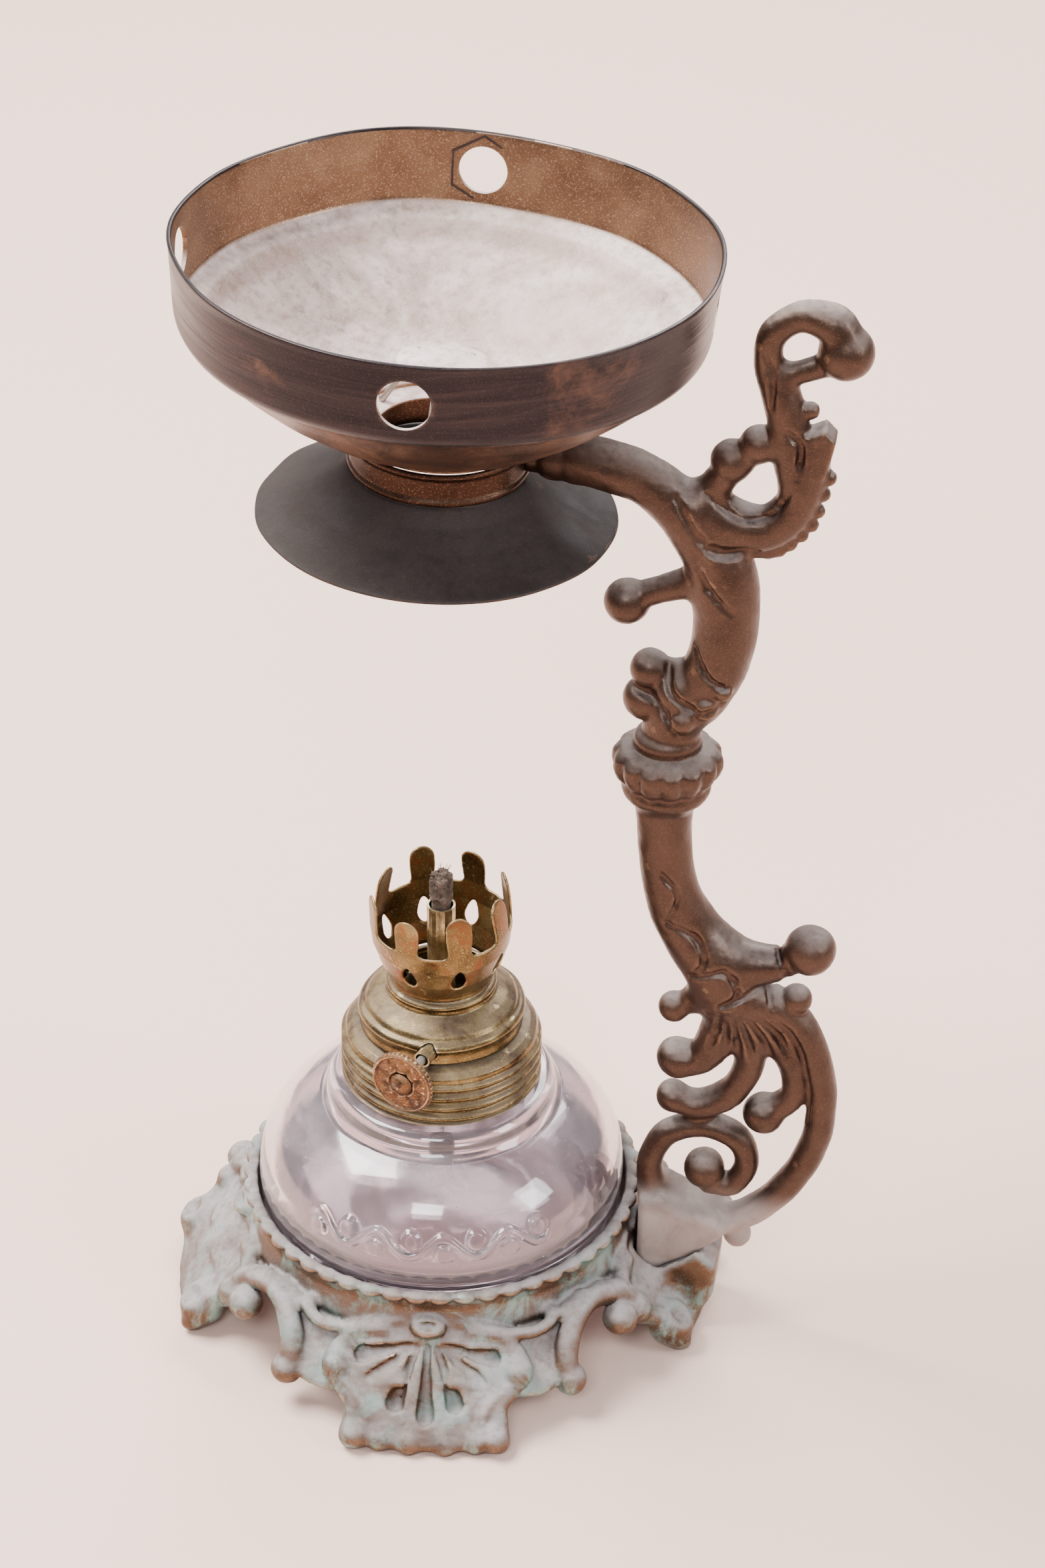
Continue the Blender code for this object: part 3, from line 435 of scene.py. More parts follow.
class Recipe:
    """A material's node tree, with short ways to add to it. Patterns follow the row's own metres."""

    def __init__(self, name):
        self.made = bpy.data.materials.new(name)
        self.made.use_nodes = True
        self.tree = self.made.node_tree
        self.shader = self.tree.nodes["Principled BSDF"]
        self.place = self.tree.nodes.new("ShaderNodeTexCoord").outputs["Object"]

    def feed(self, node, **values):
        """Sets or links a node's inputs; an underscore in a name stands for a space."""
        for key, value in values.items():
            target = node.inputs[key.replace("_", " ")]
            if isinstance(value, bpy.types.NodeSocket):
                self.tree.links.new(value, target)
            else:
                target.default_value = value
        return node

    def noise(self, scale, detail=4.0, rough=0.6, twist=0.0, stretch=None):
        place = self.place
        if stretch is not None:
            mapping = self.feed(self.tree.nodes.new("ShaderNodeMapping"), Vector=place, Scale=stretch)
            place = mapping.outputs["Vector"]
        node = self.tree.nodes.new("ShaderNodeTexNoise")
        self.feed(node, Vector=place, Scale=scale, Detail=detail, Roughness=rough, Distortion=twist)
        return node.outputs["Fac"]

    def fit(self, value, low, high, to_low=0.0, to_high=1.0):
        """A smooth step of value from low to high."""
        node = self.tree.nodes.new("ShaderNodeMapRange")
        node.interpolation_type = "SMOOTHSTEP"
        for index, number in enumerate((value, low, high, to_low, to_high)):
            if index == 0:
                self.tree.links.new(number, node.inputs[0])
            else:
                node.inputs[index].default_value = number
        return node.outputs["Result"]

    def sum(self, operation, first, second):
        node = self.tree.nodes.new("ShaderNodeMath")
        node.operation = operation
        node.use_clamp = operation != "SUBTRACT"
        for socket, value in zip(node.inputs, (first, second)):
            if isinstance(value, bpy.types.NodeSocket):
                self.tree.links.new(value, socket)
            else:
                socket.default_value = value
        return node.outputs["Value"]

    def ramp(self, value, stops):
        node = self.tree.nodes.new("ShaderNodeValToRGB")
        self.tree.links.new(value, node.inputs["Fac"])
        points = node.color_ramp.elements
        while len(points) < len(stops):
            points.new(0.5)
        for point, (position, colour) in zip(points, stops):
            point.position = position
            point.color = (*colour, 1.0)
        return node.outputs["Color"]

    def mix(self, share, first, second):
        node = self.tree.nodes.new("ShaderNodeMix")
        node.data_type = "RGBA"
        for index, value in ((0, share), (6, first), (7, second)):
            if isinstance(value, bpy.types.NodeSocket):
                self.tree.links.new(value, node.inputs[index])
            else:
                node.inputs[index].default_value = value if index == 0 else (*value, 1.0)
        return node.outputs[2]

    def upward(self, low=0.15, high=0.95):
        """How far the surface faces up, which is where dust settles."""
        geometry = self.tree.nodes.new("ShaderNodeNewGeometry")
        split = self.feed(self.tree.nodes.new("ShaderNodeSeparateXYZ"), Vector=geometry.outputs["Normal"])
        return self.fit(split.outputs["Z"], low, high)

    def near_table(self, top, full):
        """How deep a place lies in the dusty zone, from 0 at height top to 1 at height full, in millimetres."""
        split = self.feed(self.tree.nodes.new("ShaderNodeSeparateXYZ"), Vector=self.place)
        return self.fit(split.outputs["Z"], top * MM, full * MM)

    def edges(self, low=0.51, high=0.57):
        """Where the surface is convex and paint wears away."""
        geometry = self.tree.nodes.new("ShaderNodeNewGeometry")
        return self.fit(geometry.outputs["Pointiness"], low, high)

    def painted_crevice_shade(self, distance):
        """Where the surface is shut in, which is where shade is painted into the recesses."""
        node = self.tree.nodes.new("ShaderNodeAmbientOcclusion")
        node.samples = 6
        node.inputs["Distance"].default_value = distance * MM
        return self.fit(node.outputs["AO"], 0.85, 0.35)

    def bump(self, *layers):
        """Adds bumps, each (height, strength, depth in millimetres), one on another."""
        normal = None
        for height, strength, depth in layers:
            node = self.feed(
                self.tree.nodes.new("ShaderNodeBump"), Height=height, Strength=strength, Distance=depth * MM
            )
            if normal is not None:
                self.tree.links.new(normal, node.inputs["Normal"])
            normal = node.outputs["Normal"]
        self.tree.links.new(normal, self.shader.inputs["Normal"])


def weathered(
    name, shades, bright, dust_shade, dust=0.6, wear=0.5, metallic=0.85, smooth=0.38, rough=0.6, patch=None,
    patch_amount=0.0, grain=0.35, crevice_shade_colour=None, patch_size=110, stretch=None, dust_up=(0.1, 0.95), dust_low=None,
):
    """Old bronze paint or plated sheet: uneven colour, flecks, worn edges, painted shade in the recesses and dust on
    top.
    """
    look = Recipe(name)
    cloud = look.noise(120, 7, 0.62, 0.4, stretch)
    fleck = look.noise(4200, 2, 0.6)
    blotch = look.noise(45, 5, 0.65, 0.8)
    colour = look.ramp(cloud, shades)
    colour = look.mix(look.sum("MULTIPLY", look.fit(fleck, 0.52, 0.72), grain), colour, bright)
    if patch is not None:
        spread = look.fit(look.noise(patch_size, 6, 0.7, 0.5), 0.62 - 0.3 * patch_amount, 0.78 - 0.3 * patch_amount)
        colour = look.mix(spread, colour, patch)
    worn = look.sum("MULTIPLY", look.edges(), look.fit(look.noise(260, 4), 0.35, 0.65, 0.35, 1.0))
    worn = look.sum("MULTIPLY", worn, wear)
    colour = look.mix(worn, colour, bright)
    # Painted shade: recesses found by ambient occlusion are darkened towards a near-black colour.
    if crevice_shade_colour is not None:
        crevice_shade = look.painted_crevice_shade(2.2)
        colour = look.mix(look.sum("MULTIPLY", crevice_shade, 0.75), colour, crevice_shade_colour)
    settle = look.sum("MULTIPLY", look.upward(*dust_up), look.fit(blotch, 0.3, 0.62, 0.45, 1.0))
    settle = look.sum("MULTIPLY", settle, look.fit(look.noise(700, 4, 0.7), 0.25, 0.6, 0.6, 1.0))
    settle = look.sum("MULTIPLY", settle, dust)
    if dust_low is not None:
        film = look.sum("MULTIPLY", look.near_table(*dust_low), look.fit(cloud, 0.3, 0.75, 0.9, 0.55))
        settle = look.sum("MAXIMUM", settle, film)
    settle = look.sum("MULTIPLY", settle, look.fit(worn, 0.0, 0.8, 1.0, 0.35))
    colour = look.mix(settle, colour, dust_shade)
    look.feed(look.shader, Base_Color=colour)
    look.feed(look.shader, Roughness=look.fit(look.sum("ADD", settle, look.fit(cloud, 0.3, 0.7, 0.0, 0.4)), 0.0, 1.0, smooth, rough + 0.25))
    look.feed(look.shader, Metallic=look.fit(settle, 0.0, 1.0, metallic, 0.05))
    look.bump((fleck, 0.35, 0.05), (cloud, 0.5, 0.25))
    return look.made


def clear_glass(name):
    """Old pressed glass, faintly lilac, with a film of dust that thickens in patches and on top."""
    look = Recipe(name)
    film = look.noise(60, 6, 0.65, 0.6)
    specks = look.noise(2600, 2, 0.6)
    dust = look.sum("MULTIPLY", look.fit(film, 0.3, 0.75, 0.06, 0.34), look.upward(-1.0, 1.0))
    dust = look.sum("ADD", dust, look.sum("MULTIPLY", look.fit(specks, 0.68, 0.76), 0.3))
    look.feed(look.shader, Base_Color=look.mix(dust, (0.86, 0.76, 0.8), (0.56, 0.46, 0.46)))
    look.feed(look.shader, Transmission_Weight=look.fit(dust, 0.0, 0.9, 0.985, 0.2), IOR=1.5)
    look.feed(look.shader, Roughness=look.fit(dust, 0.02, 0.6, 0.03, 0.4))
    look.feed(look.shader, Coat_Weight=0.5, Coat_Roughness=0.04)
    look.bump((look.noise(60, 3), 0.25, 0.5), (specks, 0.1, 0.02))
    return look.made


def charred(name, shades, roughness=0.95, depth=0.4):
    """Matt fibres: cotton, char or cork."""
    look = Recipe(name)
    tufts = look.noise(900, 6, 0.75, 0.5)
    look.feed(look.shader, Base_Color=look.ramp(look.noise(420, 6, 0.7), shades), Roughness=roughness)
    look.bump((tufts, 0.9, depth))
    return look.made


GOLD = (0.4, 0.24, 0.14)
# Its near-black recess colour is painted shade.
base_look = weathered(
    "base_bronze", ((0.25, (0.05, 0.029, 0.018)), (0.5, (0.11, 0.062, 0.036)), (0.75, (0.19, 0.11, 0.065))),
    (0.5, 0.36, 0.23), (0.38, 0.35, 0.345), dust=0.92, wear=0.6, patch=(0.22, 0.34, 0.31), patch_amount=0.48,
    crevice_shade_colour=(0.035, 0.022, 0.017), dust_up=(0.05, 0.85), metallic=0.8, smooth=0.34, grain=0.2,
)
# Its near-black recess colour is painted shade.
bracket_look = weathered(
    "bracket_gilt", ((0.25, (0.034, 0.017, 0.011)), (0.5, (0.062, 0.033, 0.022)), (0.75, (0.095, 0.052, 0.035))),
    GOLD, (0.42, 0.35, 0.32), dust=0.7, wear=0.25, crevice_shade_colour=(0.016, 0.008, 0.006),
    metallic=0.75, smooth=0.34, grain=0.12, dust_up=(0.35, 1.0), dust_low=(27, 20),
)
pan_look = weathered(
    "pan_bronze", ((0.25, (0.11, 0.058, 0.032)), (0.5, (0.2, 0.11, 0.062)), (0.75, (0.3, 0.18, 0.1))),
    (0.7, 0.5, 0.34), (0.86, 0.73, 0.7), dust=0.92, wear=0.15, metallic=0.85, dust_up=(0.35, 0.78), grain=0.45,
    smooth=0.34,
)
# Painted shade: a darker copy of the pan's bronze, for the faces that look down.
shaded_underside_look = weathered(
    "pan_underside_painted_shade", ((0.25, (0.04, 0.018, 0.01)), (0.5, (0.085, 0.04, 0.022)), (0.75, (0.15, 0.075, 0.04))),
    (0.5, 0.3, 0.18), (0.2, 0.15, 0.13), dust=0.3, wear=0.2, metallic=0.85, grain=0.25, smooth=0.34,
)
band_look = weathered(
    "pan_band", ((0.3, (0.009, 0.007, 0.008)), (0.52, (0.021, 0.015, 0.017)), (0.7, (0.042, 0.028, 0.026))),
    (0.22, 0.16, 0.14), (0.12, 0.105, 0.105), dust=0.15, wear=0.25, metallic=0.8, smooth=0.27, rough=0.4,
    stretch=(0.3, 0.3, 5.0), grain=0.08, patch=(0.085, 0.048, 0.036), patch_amount=0.2, patch_size=55,
)
cone_look = weathered(
    "cone_soot", ((0.3, (0.008, 0.005, 0.004)), (0.5, (0.014, 0.009, 0.0075)), (0.75, (0.03, 0.018, 0.015))),
    (0.25, 0.12, 0.07), (0.1, 0.08, 0.075), dust=0.25, wear=0.45, metallic=0.25, smooth=0.6, rough=0.7, grain=0.12,
)
copper_look = weathered(
    "collar_copper", ((0.3, (0.02, 0.008, 0.005)), (0.5, (0.04, 0.018, 0.01)), (0.75, (0.08, 0.036, 0.02))),
    (0.35, 0.18, 0.1), (0.12, 0.08, 0.065), dust=0.2, wear=0.45, smooth=0.3,
)
# Its near-black recess colour is painted shade.
brass_look = weathered(
    "burner_brass", ((0.25, (0.035, 0.02, 0.008)), (0.5, (0.15, 0.098, 0.036)), (0.75, (0.36, 0.27, 0.115))),
    (0.85, 0.7, 0.4), (0.24, 0.185, 0.135), dust=0.55, wear=0.8, metallic=0.95, smooth=0.2, rough=0.45,
    patch=(0.07, 0.034, 0.015), patch_amount=0.4, patch_size=190, dust_up=(0.35, 0.95), grain=0.25,
    crevice_shade_colour=(0.02, 0.011, 0.005),
)
crown_look = weathered(
    "crown_brass", ((0.25, (0.05, 0.028, 0.009)), (0.5, (0.15, 0.098, 0.034)), (0.75, (0.3, 0.22, 0.09))),
    (0.65, 0.48, 0.24), (0.2, 0.13, 0.08), dust=0.3, wear=0.5, metallic=0.9, smooth=0.26, rough=0.5,
    patch=(0.2, 0.075, 0.026), patch_amount=0.5, patch_size=210, grain=0.35,
)
# Its near-black recess colour is painted shade.
knob_look = weathered(
    "knob_rust", ((0.25, (0.045, 0.018, 0.009)), (0.5, (0.16, 0.068, 0.026)), (0.75, (0.3, 0.17, 0.07))),
    (0.7, 0.45, 0.24), (0.2, 0.14, 0.1), dust=0.25, wear=0.9, metallic=0.7, smooth=0.38,
    patch=(0.03, 0.014, 0.01), patch_amount=0.42, patch_size=420, crevice_shade_colour=(0.02, 0.01, 0.007),
)
steel_look = weathered(
    "dull_steel", ((0.3, (0.14, 0.125, 0.115)), (0.5, (0.3, 0.28, 0.25)), (0.75, (0.45, 0.43, 0.4))),
    (0.65, 0.62, 0.58), (0.35, 0.31, 0.27), dust=0.4, wear=0.5, metallic=0.95, smooth=0.3,
    patch=(0.22, 0.11, 0.05), patch_amount=0.35,
)
glass_look = clear_glass("old_glass")
cotton_look = charred(
    "charred_wick", ((0.3, (0.03, 0.022, 0.018)), (0.5, (0.11, 0.075, 0.055)), (0.72, (0.27, 0.2, 0.16)))
)
cork_look = charred("cork", ((0.3, (0.2, 0.12, 0.06)), (0.5, (0.34, 0.21, 0.12)), (0.7, (0.44, 0.3, 0.18))))


# ---------------------------------------------------------------- cast base


def foot_half_width(along):
    """The shell's half width: narrow at the button, broad at the lobes, waisted over the toe."""
    shares = (0.0, 0.15, 0.35, 0.5, 0.62, 0.74, 0.86, 1.0)
    return float(np.interp(along, shares, (5.0, 10.0, 14.0, 15.0, 13.4, 11.0, 11.4, 11.8)))


def foot_point(azimuth, across, along, lift=0.0):
    """A place on a foot's slope: across in millimetres, along from 0 at the ring to 1 at the toe."""
    slope = math.atan2(9.0 + 10.8 * along, FOOT_REACH)
    radius = FOOT_TOP_R + FOOT_REACH * along + lift * math.sin(slope)
    height = FOOT_TOP_Z - 9.0 * along - 5.4 * along**2 - (across / 16) ** 2 * (1 - along)
    height += lift * math.cos(slope)
    return polar(radius, azimuth + math.degrees(across / radius), height)


def on_foot(azimuth, places):
    """Stations on a foot from (across, along, lift, radius)."""
    return [(*foot_point(azimuth, across, along, lift), radius) for across, along, lift, radius in places]


def sculpt_shell(clay, azimuth, fluted):
    """A foot's scallop shell: fluted on the front and back feet, with dished leaves on the side feet."""
    skin = -1.25 if fluted else -1.7
    for along in np.linspace(0.0, 0.97, 26):
        half = foot_half_width(along)
        spots = [(half * share, along, skin + 0.6 * abs(share) ** 3, 1.1) for share in np.linspace(-1, 1, 15)]
        clay.tube(on_foot(azimuth, spots), soft=0.5)
    for side in (-1, 1):
        rim = [(side * foot_half_width(along), along, -0.3, 1.15) for along in np.linspace(0.06, 0.98, 12)]
        clay.tube(on_foot(azimuth, rim), soft=0.7)
        inner = [(side * 4.4, 0.02, 0.2, 0.7), (side * 9.4, 0.1, 0.3, 0.8), (side * 12.6, 0.26, 0.2, 0.8)]
        clay.tube(on_foot(azimuth, inner + [(side * 13.2, 0.44, 0.0, 0.6)]), soft=0.5)
        clay.ball(foot_point(azimuth, side * 14.0, 0.5, -0.2), 2.3, soft=0.9)
        if fluted:
            clay.ball(foot_point(azimuth, side * 10.6, 0.95, -0.2), 2.2, soft=0.9)
            curl = [(side * 13.4, 0.58, 0.1, 0.8), (side * 10.6, 0.67, 0.0, 0.9), (side * 9.0, 0.78, -0.2, 0.9)]
            clay.tube(on_foot(azimuth, curl + [(side * 9.0, 0.9, -0.5, 0.8)]), soft=0.5)
        else:
            clay.ball(foot_point(azimuth, side * 10.4, 0.82, -0.9), 3.5, soft=1.4)
            clay.ball(foot_point(azimuth, side * 10.8, 0.76, 3.6), 2.7, soft=0.8, cut=True)
            clay.ball(foot_point(azimuth, side * 8.6, 0.34, 2.2), 2.9, soft=0.9, cut=True)
    if fluted:
        flutes = ((0, 0.78), (4.6, 0.7), (-4.6, 0.7), (8.0, 0.55), (-8.0, 0.55), (9.8, 0.36), (-9.8, 0.36))
        for across, along in flutes:
            stem = [(across * 0.3, 0.24, -0.3, 0.5), (across * 0.64, 0.24 + 0.5 * (along - 0.24), -0.4, 0.75)]
            stem += [(across * 0.92, 0.24 + 0.88 * (along - 0.24), -0.45, 1.25), (across, along, -0.4, 1.4)]
            clay.tube(on_foot(azimuth, stem), soft=0.35, cut=True)
        for index, across in enumerate((-6.6, -2.0, 3.2, 7.4)):
            fold = [(across * 0.9, 0.87, -1.0, 0.8), (across, 0.95, -0.9 + 0.3 * (index % 2), 1.2)]
            clay.tube(on_foot(azimuth, fold + [(across * 1.04, 0.99, -1.1, 1.2)]), soft=1.2)
    clay.ball(foot_point(azimuth, 0, 0.07, 0.6), (1.9, 2.7, 1.7), soft=0.6, turn=azimuth)
    clay.ball(foot_point(azimuth, 0, 0.09, 2.1), (1.0, 1.7, 0.7), soft=0.5, turn=azimuth, cut=True)


def scroll_path(azimuth, side, places):
    return [(*polar(radius, azimuth + side * turn, height), width) for turn, radius, height, width in places]


def sculpt_apron(clay, azimuth, side, low):
    """The skirt beside a foot. The front and back feet carry the arch and its ball, the side feet a knob."""
    if low:
        turns = (8, 18, 26, 31, 35, 38, 42, 48, 54, 58)
        reach = (36, 36.8, 37.2, 37, 36, 34.4, 33, 32.4, 33, 34)
        drop = (9, 7.0, 6.2, 6.4, 8.6, 11.6, 13.2, 14.0, 13.4, 11.6)
        scroll = ((57.5, 34.4, 11.0, 1.2), (54.5, 33.4, 13.6, 1.6), (48, 32.8, 14.9, 1.7), (42, 33.4, 14.3, 1.8))
        scroll += ((38, 34.6, 12.5, 1.8), (35.6, 35.9, 9.9, 1.8), (34.9, 37.0, 7.4, 1.7))
        end, radius = (35.3, 37.4, 6.2), 2.5
        fold = ((46, 31.6, 15.8, 0.7), (37, 32.2, 14.8, 0.9), (30, 32.8, 13.8, 1.0), (22, 32.2, 14.2, 0.9))
        fold += ((12, 31.2, 14.6, 0.7),)
        bud = (35.5, 31.3, 15.2)
    else:
        turns, reach, drop = (8, 16, 20, 24, 28, 34), (36, 35.6, 35, 34.4, 33.4, 31.4), (9, 7.6, 8.4, 10.2, 12.6, 14)
        scroll = ((36, 31.0, 14.2, 1.3), (28, 32.8, 14.2, 1.5), (23.6, 34.6, 12.0, 1.6), (25.6, 35.8, 9.4, 1.4))
        end, radius = (29.4, 35.8, 10.6), 2.7
        fold = ((30, 32.0, 14.6, 0.7), (22, 32.8, 13.2, 0.9), (14, 32.0, 14.2, 0.8))
        bud = (19.0, 31.2, 14.6)
    for turn in np.arange(6.0, turns[-1], 1.4):
        outer = polar(np.interp(turn, turns, reach), azimuth + side * turn, np.interp(turn, turns, drop))
        inner = polar(29.6, azimuth + side * turn, 13.8)
        middle_way = (inner + outer) / 2 + np.array((0, 0, -0.6))
        clay.tube([(*inner, 1.0), (*middle_way, 0.9), (*outer, 0.9)], soft=0.5)
    clay.tube(scroll_path(azimuth, side, scroll), soft=0.6)
    clay.tube(scroll_path(azimuth, side, fold), soft=1.0)
    turn, reach_r, height = end
    clay.ball(polar(reach_r, azimuth + side * turn, height), radius, soft=0.4)
    turn, reach_r, height = bud
    clay.ball(polar(reach_r, azimuth + side * turn, height), (1.5, 1.0, 0.9), soft=0.8, turn=azimuth + side * turn)


def base_piece():
    clay = Clay((-45, -45, -0.5), (45, 45, 22.6), 0.42)
    ring = [
        (RING_INNER_R, 21.2), (29.6, 21.0), (30.0, 19.6), (29.8, 18.2), (30.3, 16.4), (30.9, 14.8), (30.8, 13.2),
        (30.0, 12.0), (30.0, 10.3), (22.0, 10.3), (22.0, LEDGE_Z), (RING_INNER_R, LEDGE_Z),
    ]

    def ring_distance(x, y, z):
        return outline_distance(np.hypot(x, y) + 0 * z, z + 0 * (x + y), ring)

    clay.shape((-31, -31, 10), (31, 31, 22), ring_distance, soft=0.3)
    for index in range(BEADS):
        azimuth = 360 * (index + 0.5) / BEADS
        clay.ball(polar(30.0, azimuth, 20.75), (1.15, 1.72, 0.95), soft=0.45, turn=azimuth)
    for foot, azimuth in FEET.items():
        sculpt_shell(clay, azimuth, foot in SCROLL_FEET)
        for side in (-1, 1):
            sculpt_apron(clay, azimuth, side, foot in SCROLL_FEET)
    (left_x, left_z), (right_x, right_z) = SEAM
    seat = [
        (29.2, 15.0), (31.4, 10.8), (left_x, left_z + 1.0), (right_x, right_z + 1.0), (44.4, 12.0), (44.0, 6.4),
        (42.0, 2.2), (38.0, 1.6), (33.0, 3.6), (29.2, 9.0),
    ]
    clay.slab(seat, LUG_HALF + 1.6, BRACKET_AZIMUTH, soft=2.2, edge=1.2)
    pocket = [
        (31.2, 30.0), (31.2, 9.2), (left_x, left_z - 0.15), (right_x, right_z - 0.15), (50.0, 21.0), (50.0, 30.0),
    ]
    clay.slab(pocket, LUG_HALF + 0.9, BRACKET_AZIMUTH, soft=0.15, cut=True, edge=0.1)
    clay.shape(
        (-FONT_R, -FONT_R, LEDGE_Z), (FONT_R, FONT_R, 23),
        lambda x, y, z: np.maximum(np.hypot(x, y) - RING_INNER_R, LEDGE_Z - z), soft=0.1, cut=True,
    )
    clay.shape(
        (-22, -22, 0), (22, 22, LEDGE_Z), lambda x, y, z: np.hypot(x, y) - 22.0 + 0 * z, soft=0.1, cut=True,
    )
    x, y, z = clay.window(clay.low, clay.low + clay.cell * np.array(clay.field.shape))[1]
    clay.field += (0.06 * wavy(3, 5.0)(x, y, z) + 0.025 * wavy(13, 1.7)(x, y, z)) * (np.hypot(x, y) > 31.5)
    clay.field = np.maximum(clay.field, 0.02 - z).astype(np.float32)
    points, faces = clay.skin()
    return finished(
        "sculpted_base", points, faces, LAMP, "holder", base_look, ["base_casting"], 60
    )


# ---------------------------------------------------------------- bracket

# The bracket's branches in its own plane, as (x, z, radius)
BRANCHES = {
    "arm": [
        (12.9, 148.8, 2.1), (15.6, 148.8, 2.3), (16.0, 148.8, 3.0), (18.4, 148.8, 3.0), (19.2, 148.8, 3.4),
        (22.4, 148.7, 3.6), (28.4, 147.0, 3.5), (32.7, 143.9, 3.8), (36.5, 139.8, 4.4), (39.3, 134.8, 4.8),
        (40.4, 129.6, 4.8), (40.6, 125.3, 4.6), (39.9, 119.8, 4.5), (37.5, 114.0, 4.4), (34.3, 109.8, 4.3),
        (33.2, 105.4, 4.1),
    ],
    "leaf": [
        (36.5, 143.6, 3.6), (41.4, 141.2, 3.5), (45.7, 141.2, 3.2), (48.9, 144.2, 3.0), (50.6, 149.0, 2.8),
        (51.2, 153.4, 2.4),
    ],
    "hook": [
        (49.4, 148.6, 2.6), (48.6, 153.0, 2.9), (47.6, 158.0, 2.8), (46.2, 162.4, 2.6), (44.6, 166.6, 2.0),
        (45.2, 170.6, 2.0), (48.8, 173.2, 2.2), (53.0, 172.4, 2.8), (55.0, 169.2, 3.0),
    ],
    "hook_ledge": [(45.8, 164.2, 1.7), (49.2, 165.2, 1.6), (52.8, 166.8, 1.7)],
    "bud_stem": [(37.6, 146.0, 2.4), (40.8, 150.6, 2.2), (44.2, 153.7, 2.0), (48.4, 155.4, 1.9)],
    "curl_stem": [(39.0, 132.4, 2.6), (35.4, 131.4, 2.3), (31.3, 129.8, 2.0), (26.8, 127.8, 2.0)],
    "berry_stem": [(37.2, 114.6, 3.0), (33.0, 116.4, 2.4), (30.2, 116.6, 2.2)],
    "shaft": [
        (32.9, 95.6, 4.3), (33.0, 92.0, 4.1), (33.3, 86.1, 3.9), (34.6, 78.8, 4.1), (37.5, 72.3, 4.6),
        (41.2, 67.4, 5.2), (43.6, 62.4, 5.3), (45.2, 58.4, 4.4),
    ],
    "ball_arm": [(42.6, 67.4, 4.2), (49.1, 67.6, 3.0), (52.6, 68.9, 2.4), (55.0, 70.6, 2.3)],
    "left_stub": [(41.4, 61.6, 3.4), (38.0, 59.4, 2.1), (35.7, 58.0, 1.8)],
    "outer_c": [
        (44.6, 61.6, 3.6), (49.6, 60.6, 3.0), (54.0, 57.4, 2.6), (57.2, 51.0, 2.4), (58.6, 42.6, 2.3),
        (57.4, 33.4, 2.3), (53.4, 25.2, 2.3), (47.8, 19.4, 2.3), (42.6, 17.4, 2.6),
    ],
    "fan_left": [(44.4, 60.0, 3.8), (42.6, 53.9, 3.2), (40.2, 49.5, 2.7), (36.6, 48.2, 2.7)],
    "fan_middle": [
        (45.6, 60.0, 3.6), (47.3, 54.0, 2.9), (47.2, 48.4, 2.3), (44.8, 43.0, 2.3), (40.4, 40.2, 2.3),
        (36.0, 40.8, 2.1),
    ],
    "fan_right": [(46.8, 60.4, 3.6), (51.0, 55.0, 2.8), (53.8, 49.6, 2.2), (54.2, 43.9, 2.0), (50.6, 39.9, 2.2)],
    "inner_c": [
        (34.4, 19.6, 2.6), (33.1, 24.0, 2.2), (33.0, 29.0, 2.0), (35.6, 34.0, 2.0), (41.2, 36.2, 2.0),
        (46.2, 34.2, 2.0), (47.7, 29.6, 1.9), (45.8, 25.4, 1.9), (42.2, 25.2, 2.0),
    ],
}
BALLS = {
    "hook_ball": (54.9, 168.6, 3.8), "leaf_bead": (50.6, 159.6, 1.3), "upper_bud": (43.9, 153.8, 2.7),
    "lower_bud": (40.4, 151.0, 3.0), "curl_ball": (26.6, 127.4, 3.3), "top_berry": (30.2, 116.8, 2.9),
    "low_berry": (29.6, 111.8, 3.2), "side_berry": (35.0, 113.8, 4.6), "elbow_ball": (55.3, 70.9, 3.8),
    "shoulder_bead": (53.8, 61.8, 2.4), "left_bead": (35.5, 57.9, 2.4), "fan_left_ball": (36.4, 48.4, 3.2),
    "fan_middle_ball": (36.0, 41.0, 2.6), "fan_right_ball": (49.9, 39.7, 3.2), "inner_ball": (41.2, 27.6, 3.2),
    "under_bead": (46.9, 15.4, 2.2),
}
# Creases cut into both faces, as points (x, z) and a radius
CREASES = [
    ([(33.4, 146.2), (36.2, 141.4), (40.0, 138.6), (44.6, 138.4)], 0.75),
    ([(37.4, 146.8), (41.6, 143.8), (46.0, 144.0), (48.6, 148.0)], 0.45),
    ([(36.4, 136.8), (38.4, 133.0), (41.8, 129.4)], 0.5),
    ([(36.6, 122.6), (38.9, 118.6), (41.6, 117.0)], 0.45),
    ([(32.8, 119.6), (33.8, 115.4), (37.6, 113.0), (41.0, 114.2)], 0.6),
    ([(27.6, 114.8), (32.0, 112.9), (34.6, 108.8)], 0.6),
    ([(48.0, 157.2), (49.8, 155.0), (49.6, 150.4)], 0.5),
    ([(45.6, 160.4), (45.4, 165.2), (44.0, 168.6)], 0.4),
    ([(33.2, 84.4), (35.8, 80.6), (34.4, 75.8)], 0.4),
    ([(34.4, 75.8), (38.4, 74.0), (40.2, 70.0), (38.2, 66.8)], 0.55),
    ([(38.2, 66.8), (43.2, 68.4), (45.4, 64.8), (43.0, 62.4)], 0.55),
    ([(43.0, 62.4), (48.6, 64.8), (50.6, 61.4)], 0.5),
    ([(50.0, 71.6), (52.2, 67.4), (51.6, 64.4)], 0.4),
]
